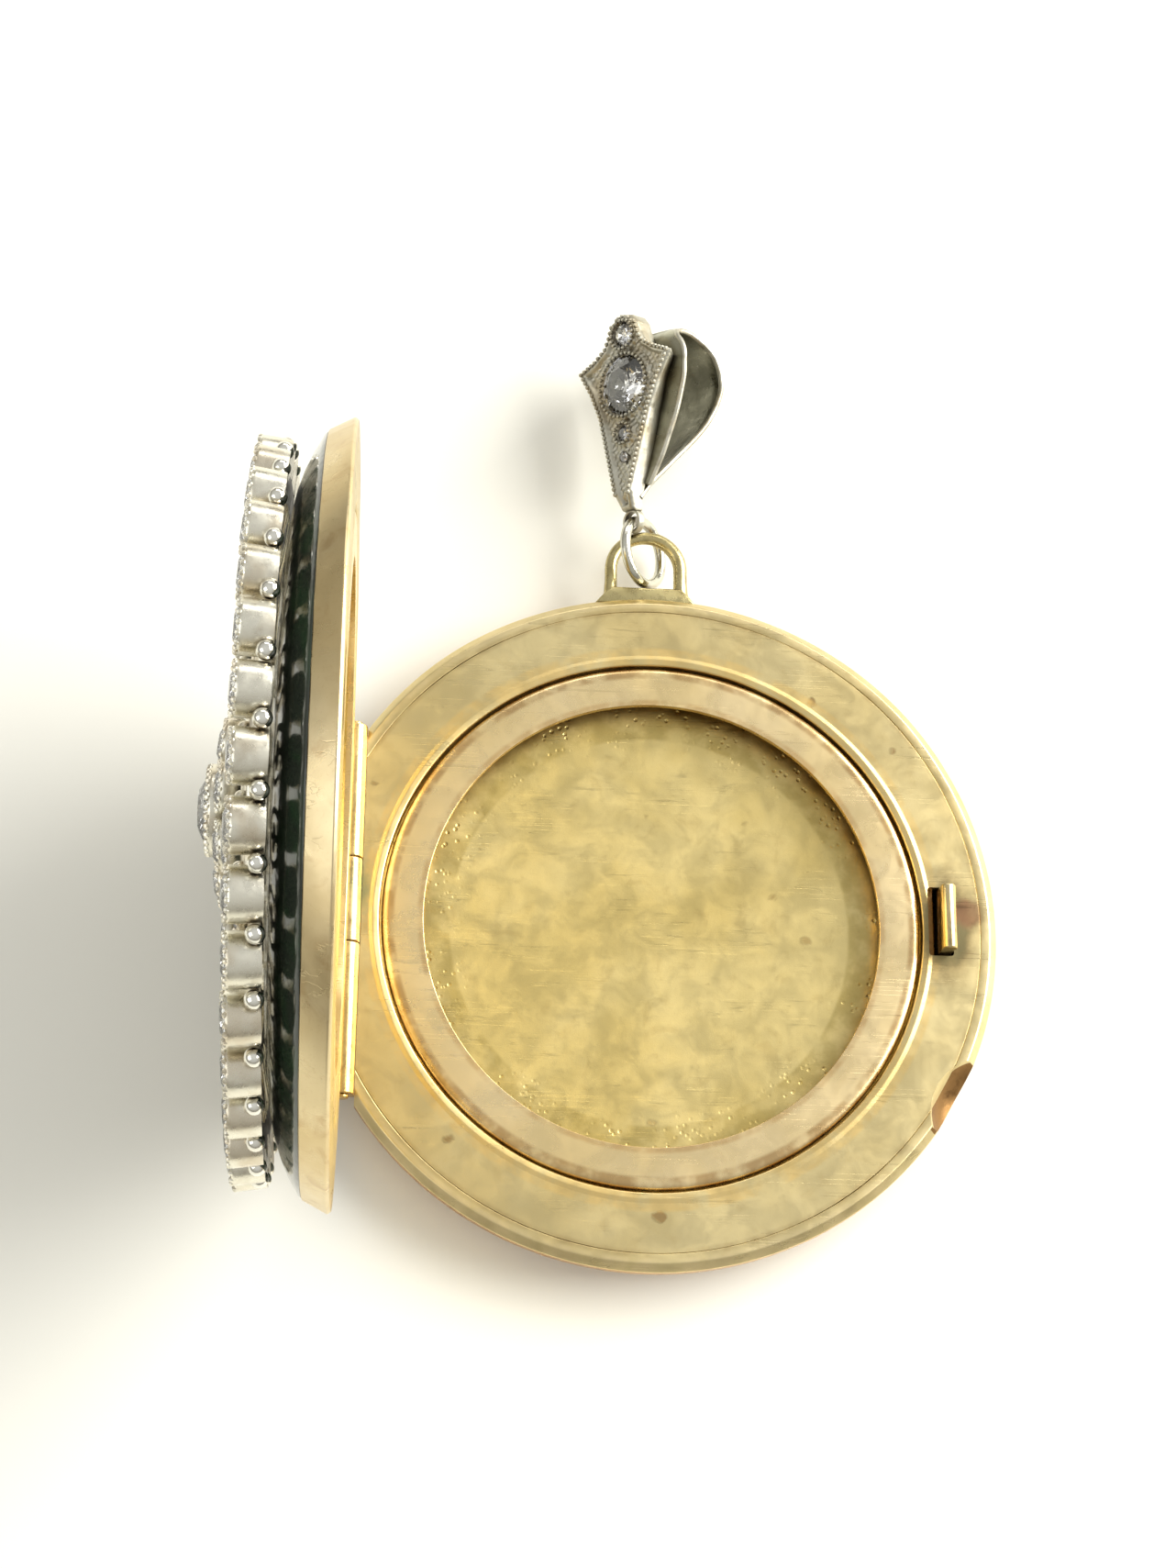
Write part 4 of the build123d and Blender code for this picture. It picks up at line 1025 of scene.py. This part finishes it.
def panel_F(x, y):
    r = np.hypot(x, y)
    f = np.abs(r - 11.35) - 0.45                                   # border ring
    f = np.minimum(f, np.abs(r - 8.75) - 0.22)                      # middle ring
    f = np.minimum(f, np.abs(r - 3.85) - 0.20)                      # inner ring
    f = np.minimum(f, r - 2.0)
    u, v = rep(x, y, 12)
    f = np.minimum(f, np.abs(np.hypot(u - 6.3, v) - 2.05) - 0.17)   # twelve interlaced circles
    f = np.minimum(f, np.hypot(u - 6.3, v) - 0.78)
    f = np.minimum(f, np.maximum(np.abs(v) - 0.15, np.abs(u - 5.2) - 1.3))
    u, v = rep(x, y, 24, pi / 24)
    f = np.minimum(f, np.abs(np.hypot((u - 10.15) * 0.75, v * 1.15) - 1.02) - 0.14)   # garland of loops
    f = np.minimum(f, np.hypot(u - 10.15, v) - 0.50)
    f = np.minimum(f, np.maximum(np.abs(v) - 0.12, np.abs(u - 10.1) - 1.4))
    u, v = rep(x, y, 8, pi / 8)
    f = np.minimum(f, np.maximum(np.abs(v) - 0.20, np.abs(u - 2.9) - 1.1))
    return f


def panel_top(x, y):
    f = np.clip(-panel_F(x, y), 0, 0.3)
    return dome_top(np.hypot(x, y)) - 0.16 + 0.16 * np.sqrt(np.clip(1 - (1 - np.clip(f / 0.16, 0, 1)) ** 2, 0, 1))


px_, py_ = polar_grid(0.02, 12.4, 190, 960)
pl = isoplate("panel_openwork", px_, py_, panel_F, panel_top, lambda x, y: dome_bot(np.hypot(x, y)), DECK, sharp=45)
dress(pl, PLAT, "lid", "white_metal", "panel_plate")
pl.data.materials.append(UNDERSIDE_SHADED)
# painted shade: faces turned away from the panel's top get the darker platinum copy
dn = -Vector((LID[0][2], LID[1][2], LID[2][2]))
for f in pl.data.polygons:
    if f.normal.dot(dn) > 0.5:
        f.material_index = 1


def tilt(r, a, h, k=0.0):
    """Frame on the dome at radius r and angle a, leaning outwards with the dome's slope."""
    sl = atan2(float(dome_top(r - 0.4) - dome_top(r + 0.4)), 0.8) + k
    return DECK @ Matrix.Rotation(a, 4, "Z") @ Matrix.Translation(Vector((r, 0, h))) @ Matrix.Rotation(sl, 4, "Y")


def collet(s, m, r, h, wall=0.12, beads=16, seg=28, foot=0.86):
    """Cup setting of outer radius r whose lip is at z = 0 of m, with a grained lip."""
    s.lathe([(0, -h * 0.75), (r - wall - 0.05, -h * 0.62), (r - wall, -0.10), (r - wall + 0.01, 0.0), (r - 0.05, 0.03), (r - 0.01, -0.02), (r, -0.10), (r * 0.985, -h * 0.5),
             (r * foot, -h * 0.82), (r * foot * 0.97, -h), (0, -h)], m, seg)
    for i in range(beads):
        a = 2 * pi * i / beads
        s.bead(((r - wall * 0.55) * cos(a), (r - wall * 0.55) * sin(a), 0.02), wall * 0.62, m, 8, 5)


NB = 36
cs, gs, bs = Soup(), Soup(), Soup()
for k in range(NB):
    a = 2 * pi * k / NB
    j = noise.noise(Vector((k * 1.7, 0.3, 0.1)))
    m = DECK @ Matrix.Rotation(a, 4, "Z") @ Matrix.Translation(Vector((12.37, 0, 3.20 + 0.03 * j))) @ Matrix.Rotation(radians(7 + 3 * j), 4, "Y")
    collet(cs, m, 0.93, 1.10, wall=0.18, beads=16, seg=32, foot=0.97)
    gs.gem((0, 0, -0.02), 0.72, m, crown=0.22, pav=0.55, turn=k * 0.7)
    a2 = a + pi / NB
    mb = DECK @ Matrix.Rotation(a2, 4, "Z")
    bs.bead((12.88, 0, 2.26), 0.33, mb, 18, 11)
dress(cs.build("panel_border_collets"), PLAT, "lid", "white_metal", "border_collets")
dress(gs.build("panel_border_stones", smooth=False), STONE, "lid", "stone", "border_diamonds")
dress(bs.build("panel_border_grains", sharp=80), PLAT_HIGHLIGHT, "lid", "white_metal", "border_beads")

fs, fg = Soup(), Soup()
for k in range(12):
    m = tilt(6.3, 2 * pi * k / 12, float(dome_top(6.3)) + 0.42)
    collet(fs, m, 0.80, 0.62, wall=0.14, beads=14)
    fg.gem((0, 0, -0.02), 0.62, m, crown=0.26, pav=0.5, turn=k)
for k in range(24):
    m = tilt(10.15, 2 * pi * k / 24 + pi / 24, float(dome_top(10.15)) + 0.28)
    collet(fs, m, 0.52, 0.46, wall=0.11, beads=10, seg=20)
    fg.gem((0, 0, -0.02), 0.40, m, crown=0.28, pav=0.5, turn=k * 0.4)
for k in range(24):
    m = tilt(8.75, 2 * pi * k / 24, float(dome_top(8.75)) + 0.16)
    fs.bead((0, 0, -0.06), 0.24, m, 12, 8)
cc, cg = Soup(), Soup()
collet(cc, DECK @ Matrix.Translation(Vector((0, 0, 4.55))), 1.66, 1.2, wall=0.26, beads=28, seg=48)
cg.gem((0, 0, 4.53), 1.40, DECK, crown=0.28, pav=0.48)
for k in range(8):
    m = tilt(2.62, 2 * pi * k / 8, 4.12, 0.12)
    collet(cc, m, 0.92, 0.80, wall=0.17, beads=16)
    cg.gem((0, 0, -0.02), 0.72, m, crown=0.26, pav=0.5, turn=k)
fo = fs.build("panel_field_collets")
dress(fo, PLAT, "lid", "white_metal")
dress(fg.build("panel_field_stones", smooth=False), STONE, "lid", "stone", "field_diamonds")
dress(cc.build("panel_cluster_collets"), PLAT, "lid", "white_metal", "cluster_collets")
dress(cg.build("panel_cluster_stones", smooth=False), STONE, "lid", "stone", "cluster_diamonds")
pp = Soup()
for k in range(4):
    m = LID @ Matrix.Rotation(pi / 4 + k * pi / 2, 4, "Z") @ Matrix.Translation(Vector((6.0, 0, 0)))
    pp.lathe(rounded([(0, 1.62), (0.55, 1.62), (0.55, 1.84), (0.30, 1.84), (0.30, 3.08), (0, 3.08)], [0, 0.08, 0.05, 0, 0.02, 0], 3), m, 24)
dress(pp.build("panel_fixing_pins"), PLAT, "lid", "white_metal", "panel_pins")

# ---------------------------------------------------------------- stage, light, camera
fm = NT("paper_floor")
fm.put(fm.b.inputs["Base Color"], fm.mix(fm.ramp(fm.noise(0.02, 3, 0.5), 0.35, 0.65), (0.87, 0.855, 0.775), (0.88, 0.865, 0.79)))
fm.b.inputs["Roughness"].default_value = 0.75
fm.link(fm.bump(fm.noise(3.0, 3, 0.6), 0.05, 0.05), fm.b.inputs["Normal"])
bm = bmesh.new()
bmesh.ops.create_grid(bm, x_segments=1, y_segments=1, size=3.0)
me = bpy.data.meshes.new("floor")
bm.to_mesh(me)
bm.free()
fo_ = bpy.data.objects.new("floor", me)
bpy.context.scene.collection.objects.link(fo_)
me.materials.append(fm.m)

w = bpy.data.worlds.new("studio")
bpy.context.scene.world = w
w.use_nodes = True
wt = w.node_tree
bg = wt.nodes["Background"]
tc = wt.nodes.new("ShaderNodeTexCoord")
sx = wt.nodes.new("ShaderNodeSeparateXYZ")
wt.links.new(tc.outputs["Generated"], sx.inputs[0])
cr = wt.nodes.new("ShaderNodeValToRGB")
wt.links.new(sx.outputs["Z"], cr.inputs["Fac"])
e = cr.color_ramp.elements
e[0].position, e[0].color = 0.0, (0.26, 0.235, 0.19, 1)
e[1].position, e[1].color = 1.0, (1.0, 1.0, 0.98, 1)
k_ = e.new(0.35)
k_.color = (0.72, 0.70, 0.64, 1)
wt.links.new(cr.outputs["Color"], bg.inputs["Color"])
bg.inputs["Strength"].default_value = 0.68


def area(name, loc, target, size, power, color=(1, 1, 1)):
    d = bpy.data.lights.new(name, "AREA")
    d.shape, d.size, d.size_y = "RECTANGLE", size[0] * S, size[1] * S
    d.energy, d.color = power, color
    o = bpy.data.objects.new(name, d)
    o.location = Vector(loc) * S
    o.rotation_euler = (Vector(target) - Vector(loc)).to_track_quat("-Z", "Y").to_euler()
    bpy.context.scene.collection.objects.link(o)
    return o


area("key", (262, 104, 172), (0, 0, 0), (300, 240), 2.15, (1.0, 0.99, 0.96))
area("fill", (-190, -60, 170), (0, 0, 0), (160, 160), 0.10, (0.98, 0.99, 1.0))
area("back", (20, 260, 150), (0, 0, 0), (200, 90), 0.14, (1.0, 1.0, 1.0))

cam = bpy.data.cameras.new("cam")
cam.lens = 62.35
cam.sensor_width = 36
cam.sensor_fit = "AUTO"
cam.clip_start, cam.clip_end = 0.001, 10
co = bpy.data.objects.new("cam", cam)
rt = Vector((0.9964, 0.0104, 0.0847)).normalized()
bk = -Vector((0.0768, 0.3219, -0.9436)).normalized()
up = bk.cross(rt).normalized()
rt = up.cross(bk).normalized()
cm = mat(Vector((-11.15, -29.85, 104.04 + ZP)) * S, rt, up, bk)
co.matrix_world = cm
bpy.context.scene.collection.objects.link(co)
bpy.context.scene.camera = co
sc = bpy.context.scene
sc.view_settings.view_transform = "Standard"
sc.view_settings.exposure = 0.0
